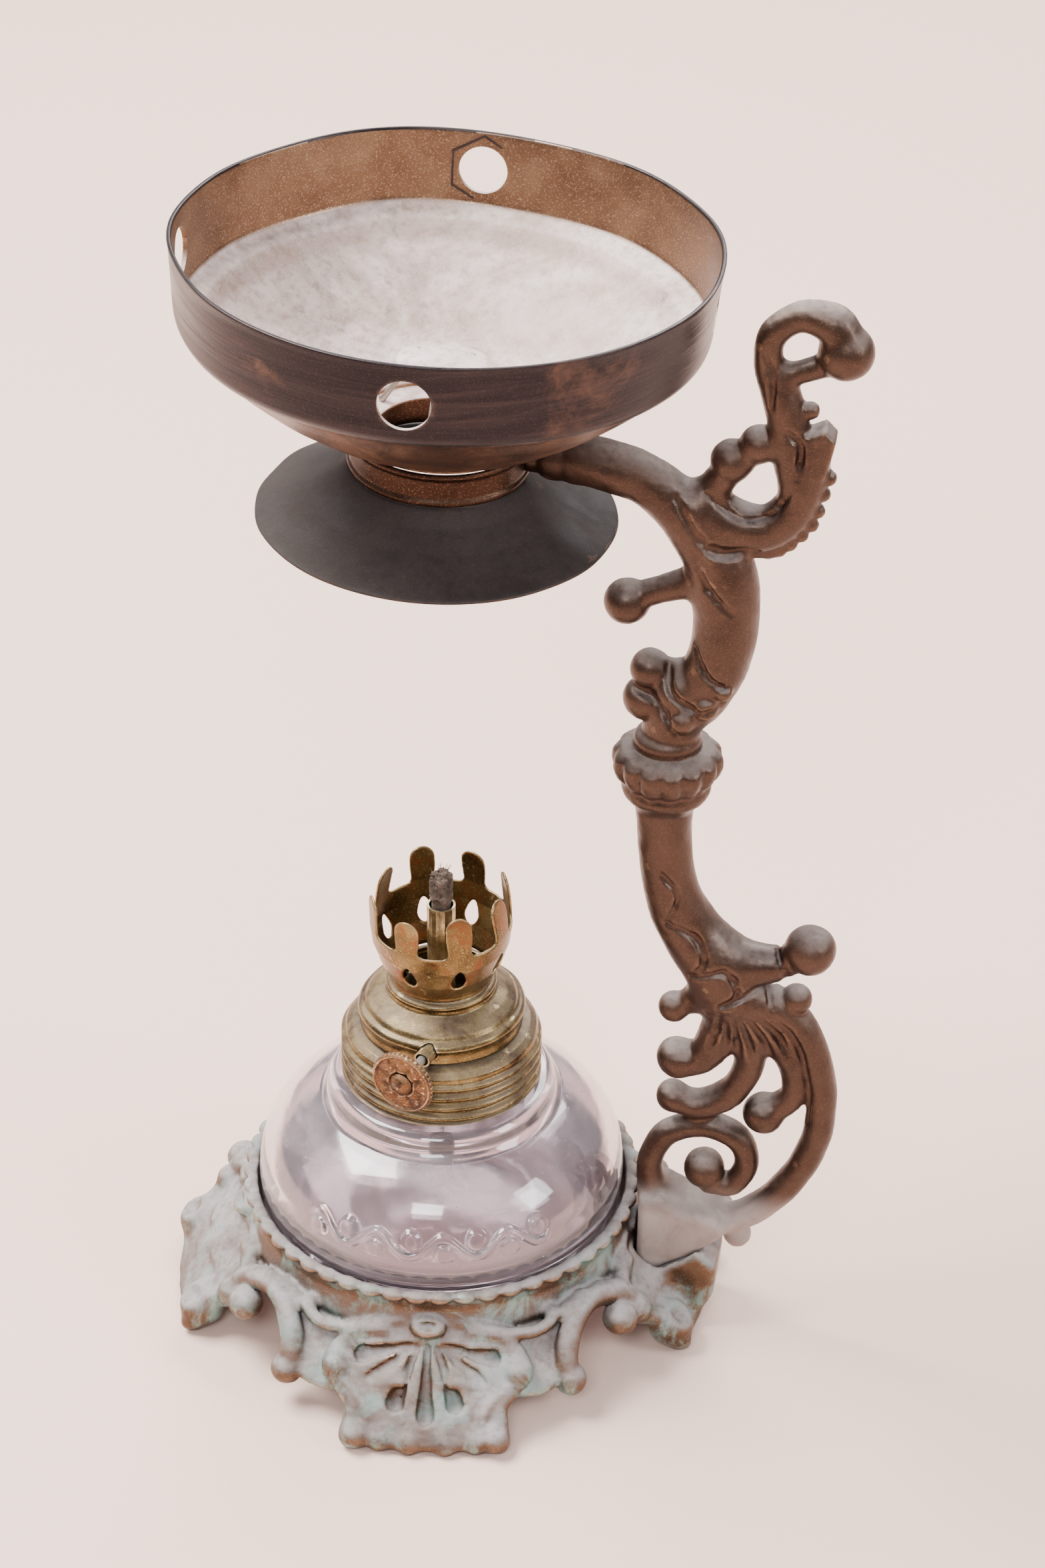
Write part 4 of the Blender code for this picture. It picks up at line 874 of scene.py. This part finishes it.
# The fan's flutes, from the shaft's end down to the gaps between its branches
FLUTES = [
    [(43.0, 61.2), (42.4, 56.8), (41.2, 53.0)],
    [(44.0, 61.0), (43.9, 56.4), (43.6, 52.2)],
    [(44.9, 60.8), (45.5, 56.0), (45.9, 51.6)],
    [(45.8, 60.8), (47.2, 55.8), (48.2, 51.0)],
    [(46.7, 61.0), (49.2, 56.4), (50.8, 52.2)],
    [(47.8, 61.2), (51.2, 57.0), (53.4, 52.6)],
    [(50.0, 60.8), (54.2, 55.4), (56.4, 47.6), (56.8, 40.0)],
]
KNOP_X, KNOP_LOBES = 33.1, 14


def sculpt_knop(clay):
    """The turned-looking knop: a plain ring, a lobed bulb and a smaller ring."""
    outline = rounded(
        [
            (0.0, 107.0), (4.2, 107.0), (5.0, 106.0), (4.9, 105.0), (4.6, 104.5), (6.7, 104.1), (8.0, 102.9),
            (8.1, 101.4), (7.4, 99.6), (6.3, 98.7), (6.3, 98.3), (6.6, 97.5), (6.2, 96.4), (4.9, 95.3), (4.2, 94.2),
            (0.0, 94.2),
        ],
        0.5,
    )
    corners = [(float(r), float(z)) for r, z in outline]

    def distance(x, y, z):
        radius, azimuth = np.hypot(x - KNOP_X, y), np.arctan2(y, x - KNOP_X)
        lobes = np.abs(np.cos(azimuth * KNOP_LOBES / 2)) ** 0.7
        bulge = np.exp(-(((z - 101.2) / 2.4) ** 4))
        return outline_distance(radius + 0.85 * (1 - lobes) * bulge, z + 0 * radius, corners)

    clay.shape((KNOP_X - 8.2, -8.2, 94), (KNOP_X + 8.2, 8.2, 107), distance, soft=0.5)


def carve(clay, places, side, radius):
    """A crease along points (x, z) of one face, shallow at its ends."""
    path = smooth_path([(x, z, 0) for x, z in places], 4)
    stations = []
    for index, (x, z, _) in enumerate(path):
        fade = math.sin(math.pi * (index + 0.5) / len(path)) ** 0.5
        surface = clay.face(x, z, side)
        if surface != 0:
            stations.append((x, surface + side * radius * (0.5 - 0.6 * fade), z, radius * (0.4 + 0.6 * fade)))
    if len(stations) > 1:
        clay.tube(stations, soft=0.35, cut=True)


def bracket_piece():
    clay = Clay((12, -8.6, 8), (62, 8.6, 176), 0.36)
    lug = [
        (31.6, 23.2), (31.6, 9.4), SEAM[0], SEAM[1], (44.0, 16.4), (45.6, 18.6), (43.6, 21.0), (38.6, 21.6),
        (35.4, 23.4),
    ]
    clay.slab(lug, LUG_HALF + 0.5, edge=1.2)
    for name, stations in BRANCHES.items():
        deep = 1.12 if name in ("outer_c", "inner_c", "fan_left", "fan_middle", "fan_right") else 1.0
        clay.tube([(x, 0, z, radius) for x, z, radius in stations], soft=1.3, depth=deep)
    for x, z, radius in BALLS.values():
        clay.ball((x, 0, z), radius, soft=0.55)
    sculpt_knop(clay)
    tip = [(49.2, 150.4), (53.2, 150.4), (54.4, 156.0), (52.8, 157.6), (50.0, 156.2)]
    clay.slab(tip, 2.3, soft=0.8, edge=0.5)
    edge = smooth_path([(43.4, 137.4), (47.4, 137.9), (51.6, 142.2), (53.6, 149.6)], 3)
    for x, z in edge:
        clay.ball((x, 0, z), 1.1, soft=0.6)
    for face in (-1, 1):
        for x, z, radius in ((38.6, 113.4, 1.9), (35.4, 110.8, 1.9), (41.0, 116.2, 1.3)):
            clay.ball((x, face * 3.6, z), radius, soft=0.4)
        clay.tube([(34.0, face * 3.4, 144.4, 0.6), (37.6, face * 4.2, 139.6, 0.9), (38.8, face * 4.4, 136.2, 0.5)])
        for crease, radius in CREASES:
            carve(clay, crease, face, 1.25 * radius)
        for flute in FLUTES:
            carve(clay, flute, face, 0.62)
    x, y, z = clay.window(clay.low, clay.low + clay.cell * np.array(clay.field.shape))[1]
    clay.field += (0.06 * wavy(11, 7.0)(x, y, z) + 0.02 * wavy(12, 1.6)(x, y, z)).astype(np.float32)
    points, faces = clay.skin()
    finished(
        "sculpted_bracket", points, faces, BRACKET, "holder", bracket_look,
        ["bracket_casting"], 70,
    )


# ---------------------------------------------------------------- pan, baffle, collar and cone


def above(profile):
    """A profile with heights above the table, as heights above the collar's middle."""
    return [(radius, height - COLLAR_Z) for radius, height in profile]


def dented(seed, size, depth):
    """Small dents: a warp that moves the radius of a turned sheet."""
    field = wavy(seed, size)

    def warp(turn, radius, height):
        amount = depth * field(radius * np.cos(turn), radius * np.sin(turn), height)
        return radius + amount * np.minimum(radius / 12, 1), height + 0.5 * amount

    return warp


def pan_piece():
    sheet = 0.6
    under = [
        (36.35, 170.2), (36.25, 169.2), (35.6, 168.2), (34.0, 167.3), (31.4, 164.6), (27.0, 160.8), (21.6, 157.0),
        (16.6, 154.2), (13.6, 153.0), (12.6, 152.2), (12.6, 151.5),
    ]
    over = [
        (PAN_FLANGE_R, 151.5), (PAN_FLANGE_R, 152.1), (12.0, 152.1), (12.2, 152.8), (13.2, 153.7), (16.3, 154.9),
        (21.2, 157.6), (26.6, 161.5), (30.9, 165.2), (33.2, 168.1), (35.0, 168.7), (35.6, 169.4), (35.75, 170.4),
    ]
    outer_rim = [(PAN_RIM_R - 0.1, 178.8), (PAN_RIM_R + 0.1, PAN_RIM_Z - 0.3), (PAN_RIM_R, PAN_RIM_Z)]
    inner_rim = [(PAN_RIM_R - sheet, PAN_RIM_Z), (PAN_RIM_R - sheet - 0.1, 178.8)]
    profile = rounded(above(outer_rim[::-1] + under + over + inner_rim[::-1]), 0.8)
    points, faces = turned(dense(profile, 1.1), 240, dented(5, 34, 0.22))
    pan = finished(
        "spun_pan", points, faces, PAN, "holder", pan_look, ["pan_gallery"]
    )
    height = PAN_HOLE_Z - COLLAR_Z
    holes = []
    for quarter in range(4):
        azimuth = PAN_HOLE_TURN + 90 * quarter
        holes.append(drum(polar(32, azimuth, height), polar(41, azimuth, height), PAN_HOLE_R))
    cut_away(pan, holes, PAN)
    pan.data.materials.append(band_look)
    pan.data.materials.append(shaded_underside_look)
    inverse = (Matrix.Scale(MM, 4) @ PAN).inverted()
    # Outward faces of the band take the band finish; faces that look down take the darker copy, which is painted shade.
    for face in pan.data.polygons:
        place = inverse @ face.center
        outward = (inverse.to_3x3() @ face.normal).normalized()
        radial = Vector((place.x, place.y, 0)).normalized()
        if place.z > 168.4 - COLLAR_Z and (outward.dot(radial) > 0.3 or place.z > PAN_RIM_Z - COLLAR_Z - 0.25):
            face.material_index = 1
        elif outward.z < -0.1:
            face.material_index = 2
    return pan


def hexagon_marks():
    """The worn nut mark round the pan's back hole, as a thin raised lip on the inner wall."""
    for name, azimuth in (("back_nut_mark", PAN_HOLE_TURN + 90),):
        points, faces = [], []
        height = PAN_HOLE_Z - COLLAR_Z
        for index in range(12):
            corner = math.radians(60 * (index // 2) + 30)
            size = 4.9 if index % 2 else 5.25
            across, up = size * math.cos(corner), size * math.sin(corner)
            wall = PAN_RIM_R - 0.6 - 0.35 * (1 - (up + height + COLLAR_Z - 170) / 10)
            for lift in (0.0, 0.22):
                turn = azimuth + math.degrees(across / 36)
                points.append(polar(wall - 0.02 - lift, turn, height + up))
        for index in range(6):
            a, b = 4 * index, 4 * ((index + 1) % 6)
            faces += [(a + 1, b + 1, b + 3, a + 3), (a, a + 2, b + 2, b), (a, b, b + 1, a + 1), (a + 2, a + 3, b + 3, b + 2)]
        finished(name, points, faces, PAN, "holder", band_look, [], 30)


def sheet_pieces():
    top = BAFFLE_Z - COLLAR_Z
    disc = rounded([(0, top + 0.7), (2.2, top + 0.6), (BAFFLE_R - 0.6, top + 0.2), (BAFFLE_R, top - 0.1)], 0.8, False)
    disc += rounded([(BAFFLE_R, top - 0.25), (BAFFLE_R - 0.6, top - 0.25), (2.2, top + 0.15), (0, top + 0.25)], 0.4, False)
    points, faces = turned(disc, 72, dented(8, 9, 0.1))
    finished("domed_baffle", points, faces, PAN, "holder", pan_look, ["baffle_disc"])
    for index in range(3):
        azimuth = 30 + 120 * index
        clay = Clay((-11.5, -11.5, 3.0), (11.5, 11.5, top + 0.4), 0.2)
        knee = polar(5.4, azimuth, top - 1.8)
        clay.tube([(*polar(4.4, azimuth, top), 0.5), (*knee, 0.45), (*polar(10.2, azimuth, 4.2), 0.45), (*polar(10.7, azimuth, 3.7), 0.5)])
        points, faces = clay.skin()
        finished(f"baffle_leg_{index}", points, faces, PAN, "holder", steel_look, ["baffle_disc"])
    half = COLLAR_HALF
    band = [
        (COLLAR_R, half), (COLLAR_R + 0.15, half - 0.5), (COLLAR_R - 0.1, half - 1.0), (COLLAR_R - 0.1, -half + 1.1),
        (COLLAR_R + 0.3, -half + 0.7), (COLLAR_R + 0.2, -half), (COLLAR_BORE_R, -half), (COLLAR_BORE_R, half),
    ]
    points, faces = turned(dense(rounded(band, 0.25), 0.8), 160, dented(21, 9, 0.09))
    collar = finished("rolled_collar", points, faces, PAN, "holder", copper_look, ["neck_collar"])
    cut_away(collar, [drum((9, 0, 0), (15, 0, 0), 1.4)], PAN)
    top, sheet = -COLLAR_HALF - 0.3, 0.5
    rim = CONE_RIM_Z - COLLAR_Z
    cone = [
        (12.4, top), (13.0, top - 0.5), (14.6, top - 1.9), (18.0, top - 4.0), (21.8, top - 5.6), (CONE_R - 0.4, rim + 0.15),
        (CONE_R, rim - 0.1), (CONE_R - 0.1, rim - sheet), (21.6, top - 6.2), (17.6, top - 4.6), (14.0, top - 2.5),
        (12.5, top - 1.1), (12.0, top - 0.6), (PAN_FLANGE_R, top - 0.6), (PAN_FLANGE_R, top),
    ]
    points, faces = turned(dense(rounded(cone, 0.4), 0.9), 200, dented(9, 17, 0.16))
    finished("flared_cone", points, faces, PAN, "holder", cone_look, ["heat_cone"])


# ---------------------------------------------------------------- font and burner


def arc(centre, size, first, last, count):
    angles = np.radians(np.linspace(first, last, count))
    return [(centre[0] + size[0] * math.cos(a), centre[1] + size[1] * math.sin(a)) for a in angles]


def vine(turn, height):
    """The raised motif on the font's front: a waving stem with a leaf in each bend, from 0 to 1."""
    pitch, level, around_at, first, last = 21.0, 28.2, 25.5, -133.0, -49.0
    azimuth = np.degrees(np.arctan2(np.sin(turn), np.cos(turn)))
    along = (azimuth - first) / pitch
    stem = np.abs(height - level - 1.5 * np.sin(2 * math.pi * along))
    shape = np.clip((1.05 - stem) / 0.8, 0, 1)
    for phase, side in ((0.25, -1), (0.75, 1)):
        across = (along - phase - np.round(along - phase)) * math.radians(pitch) * around_at
        leaf = np.hypot(across / 1.5, (height - level - side * 0.9) / 1.7)
        shape = np.maximum(shape, np.clip((1.2 - leaf) / 0.6, 0, 1))
    shown = np.clip(np.minimum(azimuth - first, last - azimuth) / 5.0, 0, 1)
    return shape * shape * (3 - 2 * shape) * shown


def glass_piece():
    centre = (12.0, FONT_WIDEST_Z)
    outside = [(NECK_R - 0.4, NECK_TOP_Z), (NECK_R, NECK_TOP_Z - 0.4), (NECK_R, 41.9), (13.4, 41.5), (16.4, 41.2), (17.4, 40.2), (17.5, 38.6)]
    outside += arc(centre, (FONT_R - 12.0, 15.2), 66, 0, 40)
    outside += [(28.48, 22.4), (28.4, 20.6), (28.1, 18.6), (27.3, 16.6)]
    outside += arc(centre, (FONT_R - 12.0, FONT_WIDEST_Z - FONT_BASE_Z), -46, -78, 7)
    outside += [(14.0, FONT_BASE_Z), (9.0, FONT_BASE_Z + 1.4), (0.0, FONT_BASE_Z + 1.8)]
    inside = [(0.0, FONT_BASE_Z + 4.6), (10.0, FONT_BASE_Z + 4.2)]
    inside += arc(centre, (FONT_R - GLASS_WALL - 12.0, FONT_WIDEST_Z - FONT_BASE_Z - 3.4), -80, 0, 12)
    inside += arc(centre, (FONT_R - GLASS_WALL - 12.0, 12.0), 12, 78, 12)
    inside += [(11.0, 36.6), (NECK_R - GLASS_WALL, 38.6), (NECK_R - GLASS_WALL, NECK_TOP_Z - 0.2)]
    profile = dense(rounded(outside + inside, 0.5), 0.5)
    wave = wavy(4, 26)

    def warp(turn, radius, height):
        outer = np.hypot(radius - centre[0], (height - centre[1]) * 16.5 / 15.2) > 15.6
        body = outer & (height > 18) & (height < 37) & (radius > 18)
        raised = 0.6 * vine(turn, height) * body
        ripple = 0.07 * wave(radius * np.cos(turn), radius * np.sin(turn), height) * (height < 40) - 0.07
        return radius + raised * (radius < FONT_R - 0.25) + ripple, height + 0.6 * raised

    points, faces = turned(profile, 560, warp)
    finished("blown_font", points, faces, LAMP, "font", glass_look, ["glass_font"], 50)


def skirt_piece():
    """The threaded cap, with one rolled helical thread of four turns."""
    pitch = 1.85
    profile = [(TUBE_R + 0.3, DECK_Z), (12.4, DECK_Z), (13.6, DECK_Z - 0.25), (14.5, DECK_Z - 1.0), (SKIRT_R, 49.4)]
    profile += [(SKIRT_R, height) for height in np.arange(49.0, 42.4, -0.2)]
    profile += [(SKIRT_R + 0.1, 42.3), (SKIRT_R + 0.65, 42.0), (SKIRT_R + 0.4, 41.75), (13.9, 41.8)]
    profile += [(13.8, DECK_Z - 1.4), (13.0, DECK_Z - 0.6), (TUBE_R + 0.3, DECK_Z - 0.6)]
    wobble = wavy(6, 7)

    def warp(turn, radius, height):
        outer = (radius > SKIRT_R - 0.3) & (height < 49.8) & (height > 42.1)
        phase = 2 * math.pi * (height / pitch + 0.0) + turn
        fade = np.clip((49.7 - height) / 0.8, 0, 1) * np.clip((height - 42.1) / 0.5, 0, 1)
        ridge = (0.5 + 0.5 * np.cos(phase)) ** 0.8
        dents = 0.05 * wobble(radius * np.cos(turn), radius * np.sin(turn), height)
        return radius + outer * fade * (0.75 * ridge - 0.1) + dents * (radius > 5), height

    points, faces = turned(dense(rounded(profile, 0.12), 0.7), 220, warp)
    skirt = finished("threaded_cap", points, faces, LAMP, "burner", brass_look, ["burner_skirt"])
    vent = Vector(polar(7.2, 150, 0))
    cut_away(skirt, [drum(vent + Vector((0, 0, 45)), vent + Vector((0, 0, 55)), 1.4)], LAMP)


def dome_piece():
    profile = [
        (7.3, DOME_TOP_Z), (8.1, DOME_TOP_Z - 0.2), (8.5, 58.5), (8.1, 57.9), (8.3, 57.2), (10.0, 56.5), (11.3, 55.6),
        (11.7, 54.9), (12.4, 54.6), (12.8, 53.9), (12.4, 53.2), (12.3, 52.4), (12.5, DOME_BASE_Z), (11.9, DOME_BASE_Z),
        (11.8, 53.6), (11.1, 54.4), (10.6, 55.2), (9.6, 55.9), (7.7, 56.7), (7.5, 57.8), (7.8, 58.4), (7.3, 58.7),
    ]
    points, faces = turned(dense(rounded(profile, 0.3), 0.6), 200, dented(15, 8, 0.07))
    dome = finished("stepped_dome", points, faces, LAMP, "burner", brass_look, ["burner_dome"])
    cut_away(dome, [drum((0, 0, 8), (0, 0, 16), 1.5)], WINDER)


def crown_piece():
    """The sprung crown: rounded prongs, each bent its own way, with a teardrop hole under each."""
    sheet = 0.46
    random = np.random.default_rng(2)
    bends = random.uniform(-0.9, 0.8, PRONGS)
    leans = random.uniform(-0.5, 0.5, PRONGS)
    tops = random.uniform(-1.0, 0.1, PRONGS)
    heights = (CROWN_LOW_Z, 60.2, 61.0, 63.0, 66.4, 69.6, 73.0, 77.0)
    radii = (CROWN_BASE_R, CROWN_BASE_R + 0.05, 8.05, 9.1, 10.15, 10.5, 10.45, 10.3)
    clay = Clay((-13, -13, CROWN_LOW_Z - 0.4), (13, 13, CROWN_TOP_Z + 0.4), 0.17)

    def distance(x, y, z):
        radius = np.hypot(x, y)
        share = (np.degrees(np.arctan2(y, x)) - PRONG_TURN) / 360 * PRONGS
        nearest = np.round(share)
        index = nearest.astype(int) % PRONGS
        free = np.clip((z - 68.2) / (CROWN_TOP_Z - 68.2), 0, 1)
        across = (share - nearest) * 2 * math.pi * radius / PRONGS - leans[index] * free**1.5 * 1.3
        wall = np.interp(z, heights, radii) + bends[index] * free**1.8 * 1.5 + 0.12 * (across / 2) ** 2 * free
        top = CROWN_TOP_Z + tops[index]
        reach = np.abs(across)
        half = 2.05 - 0.35 * np.clip((top - z - 3.5) / 3.5, 0, 1)
        prong = np.where(z > top - half, np.hypot(reach, z - top + half) - half, reach - half)
        notch_floor = 69.3
        body = np.maximum(z - notch_floor, -99)
        outline = smooth_min(body + 0 * reach, prong, 1.1)
        drop = np.hypot(reach * (1 + 0.22 * np.clip(z - 64.2, 0, 3)), (z - 64.6) * 0.62) - 1.15
        outline = np.maximum(outline, -drop)
        outline = np.maximum(outline, CROWN_LOW_Z - z)
        thick = np.abs(radius - wall) - sheet / 2
        return np.maximum(thick, outline) + 0.35 * np.clip(np.minimum(thick, outline) + 0.25, 0, 0.25)

    clay.shape((-13, -13, CROWN_LOW_Z), (13, 13, CROWN_TOP_Z + 0.2), distance, soft=0.05)
    points, faces = clay.skin()
    finished("pronged_crown", points, faces, LAMP, "burner", crown_look, ["burner_crown"], 50)


def wick_pieces():
    char = wavy(17, 1.6, 9)
    fine = wavy(18, 0.55, 9)
    clay = Clay((-3, -3, 68), (3, 3, WICK_TOP_Z + 0.8), 0.13)
    stem = [(0, 0, 68.0, WICK_R - 0.1), (0, 0, 72.6, WICK_R - 0.1), (0.1, 0, 74.0, 1.75)]
    clay.tube(stem + [(0.1, -0.1, 76.2, 1.65), (0.3, 0, 77.0, 1.0)])
    clay.ball((-0.7, -0.5, 75.2), 1.35, soft=0.5)
    clay.ball((0.9, 0.3, 75.9), 1.15, soft=0.5)
    x, y, z = clay.window(clay.low, clay.low + clay.cell * np.array(clay.field.shape))[1]
    rough = np.clip((z - 72.0) / 1.5, 0.15, 1)
    clay.field += ((0.26 * char(x, y, z) + 0.15 * fine(x, y, z)) * rough).astype(np.float32)
    clay.field = np.maximum(clay.field, 68.2 - z).astype(np.float32)
    clay.field = np.maximum(clay.field, np.hypot(x, y) - (TUBE_BORE_R - 0.06)).astype(np.float32)
    points, faces = clay.skin()
    lump = finished("charred_tip", points, faces, LAMP, "wick", cotton_look, ["wick"], 80)
    tail = [(0.0, 68.6), (WICK_R - 0.15, 68.6), (WICK_R, 68.0), (WICK_R, 24.6), (1.1, 24.0), (0.0, 24.0)]
    weave = lambda turn, radius, height: (radius + 0.06 * np.sin(6 * turn + height * 3) * (radius > 1), height)
    points, faces = turned(dense(tail, 0.4), 36, weave, closed=False)
    finished("cotton_tail", points, faces, LAMP, "wick", cotton_look, ["wick"], 80)
    random = np.random.default_rng(7)
    for index in range(16):
        azimuth = random.uniform(0, 360)
        root = polar(0.8, azimuth, random.uniform(76.4, 77.0))
        tip = polar(2.0, azimuth + random.uniform(-30, 30), random.uniform(77.5, 78.3))
        points, faces = strand(root, (root + tip) / 2 + (0, 0, random.uniform(-0.2, 0.4)), tip, 0.09)
        finished(f"wick_fibre_{index}", points, faces, LAMP, "wick", cotton_look, [])
    return lump


def strand(start, bend, end, radius):
    """A short curved fibre that tapers to its tip."""
    points, faces, sides = [], [], 5
    rows = 6
    for row in range(rows):
        t = row / (rows - 1)
        centre = Vector((1 - t) ** 2 * start + 2 * t * (1 - t) * bend + t * t * end)
        along = Vector(2 * (1 - t) * (bend - start) + 2 * t * (end - bend))
        aim = along.to_track_quat("Z", "Y").to_matrix()
        width = radius * (1 - 0.7 * t)
        for side in range(sides):
            angle = 2 * math.pi * side / sides
            points.append(centre + aim @ Vector((width * math.cos(angle), width * math.sin(angle), 0)))
    for row in range(rows - 1):
        for side in range(sides):
            a, b = row * sides + side, row * sides + (side + 1) % sides
            faces.append((a, b, b + sides, a + sides))
    faces += [tuple(range(sides))[::-1], tuple(range((rows - 1) * sides, rows * sides))]
    return points, faces


def knob_piece():
    """The winder's disc: a pressed rosette with a coined edge."""
    base = KNOB_REACH
    clay = Clay((-5.6, -5.6, base - 0.4), (5.6, 5.6, base + 2.2), 0.11)

    def distance(x, y, z):
        radius, azimuth = np.hypot(x, y), np.arctan2(y, x)
        petals = np.abs(np.cos(4 * azimuth)) ** 0.8
        leaf = np.clip((radius - 1.4) / 0.8, 0, 1) * np.clip((4.3 - radius) / 0.8, 0, 1)
        rim = np.exp(-(((radius - 4.62) / 0.28) ** 2))
        ring = np.exp(-(((radius - 2.15) / 0.22) ** 2))
        relief = 0.42 * petals * leaf + 0.4 * rim + 0.25 * ring - 0.15 * leaf
        dish = 0.12 * np.cos(azimuth + 0.6) * (radius / KNOB_R) ** 2
        edge = radius - KNOB_R - 0.07 * np.sign(np.cos(40 * azimuth))
        thick = np.abs(z - base - 0.55 - dish - relief / 2) - 0.28 - relief / 2
        return np.maximum(edge, thick)

    clay.shape((-5.4, -5.4, base - 0.2), (5.4, 5.4, base + 1.8), distance, soft=0.05)
    hub = lambda x, y, z: np.maximum(np.hypot(x, y) - 0.95, np.abs(z - base - 0.5) - 1.5)
    clay.shape((-1, -1, base - 0.4), (1, 1, base + 1.8), hub, soft=0.05, cut=True)
    points, faces = clay.skin()
    finished("rosette_knob", points, faces, WINDER, "winder", knob_look, ["wick_knob"], 50)
    boss = [(0.0, base + 2.0), (0.7, base + 1.92), (1.3, base + 1.62), (1.6, base + 1.25), (1.75, base + 1.1), (0.9, base + 1.05), (0.85, base + 0.1), (0, base + 0.1)]
    points, faces = turned(dense(rounded(boss, 0.25, False), 0.2, False), 48, dented(30, 2.0, 0.06), closed=False)
    finished("riveted_boss", points, faces, WINDER, "winder", knob_look, ["knob_rivet"])


def dress_frame():
    """The CAD nodes that stay as they are, mostly inside, get worn finishes."""
    looks = {
        "wick_tube": brass_look, "vent_tube": brass_look, "spindle_bushing": brass_look, "inner_bearing": brass_look,
        "outer_sprocket": brass_look, "inner_sprocket": brass_look, "wick_spindle": steel_look,
        "bracket_screw": steel_look, "arm_screw": brass_look, "burner_gasket": cork_look,
    }
    for node, look in looks.items():
        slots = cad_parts[node].material_slots
        for slot in slots:
            slot.material = look


# ---------------------------------------------------------------- floor, lights and camera


def studio():
    floor_mesh = bpy.data.meshes.new("floor")
    size = 6.0
    floor_mesh.from_pydata([(-size, -size, 0), (size, -size, 0), (size, size, 0), (-size, size, 0)], [], [(0, 1, 2, 3)])
    floor = bpy.data.objects.new("floor", floor_mesh)
    bpy.context.scene.collection.objects.link(floor)
    look = Recipe("pale_floor")
    look.feed(look.shader, Base_Color=(0.95, 0.68, 0.57, 1.0), Roughness=0.8)
    floor_mesh.materials.append(look.made)
    world = bpy.data.worlds.new("studio")
    world.use_nodes = True
    world.node_tree.nodes["Background"].inputs["Color"].default_value = (0.96, 0.94, 1.0, 1.0)
    world.node_tree.nodes["Background"].inputs["Strength"].default_value = 0.6
    bpy.context.scene.world = world
    lamps = (
        ("window", (-0.5, 0.1, 0.95), (0.6, 0.45), 26.0, (1.0, 0.98, 0.95)),
        ("front_window", (-0.1, -0.75, 0.75), (0.3, 0.22), 4.5, (0.97, 0.98, 1.0)),
        ("side_window", (0.8, -0.3, 0.55), (0.3, 0.4), 5.0, (0.96, 0.98, 1.0)),
        ("back_fill", (0.25, 0.85, 0.8), (0.8, 0.4), 12.0, (1.0, 0.98, 0.96)),
    )
    for name, place, size, power, colour in lamps:
        data = bpy.data.lights.new(name, "AREA")
        data.shape = "RECTANGLE"
        data.size, data.size_y = size
        data.energy = power
        data.color = colour
        lamp = bpy.data.objects.new(name, data)
        lamp.location = place
        lamp.rotation_euler = (Vector((0, 0, 0.08)) - Vector(place)).to_track_quat("-Z", "Y").to_euler()
        bpy.context.scene.collection.objects.link(lamp)


def camera():
    azimuth, elevation, roll = map(math.radians, (CAMERA_AZIMUTH, CAMERA_ELEVATION, CAMERA_ROLL))
    back = Vector((math.cos(elevation) * math.cos(azimuth), math.cos(elevation) * math.sin(azimuth), math.sin(elevation)))
    right = Vector((0, 0, 1)).cross(back).normalized()
    up = back.cross(right)
    right, up = right * math.cos(roll) + up * math.sin(roll), up * math.cos(roll) - right * math.sin(roll)
    data = bpy.data.cameras.new("camera")
    data.lens, data.sensor_width = CAMERA_LENS, CAMERA_SENSOR
    data.clip_start, data.clip_end = 0.01, 50
    made = bpy.data.objects.new("camera", data)
    turn = Matrix((right, up, back)).transposed().to_4x4()
    made.matrix_world = Matrix.Translation((Vector(CAMERA_AIM) + back * CAMERA_DISTANCE) * MM) @ turn
    bpy.context.scene.collection.objects.link(made)
    bpy.context.scene.camera = made


camera()
studio()
base_piece()
bracket_piece()
pan_piece()
hexagon_marks()
sheet_pieces()
glass_piece()
skirt_piece()
dome_piece()
crown_piece()
wick_pieces()
knob_piece()
dress_frame()
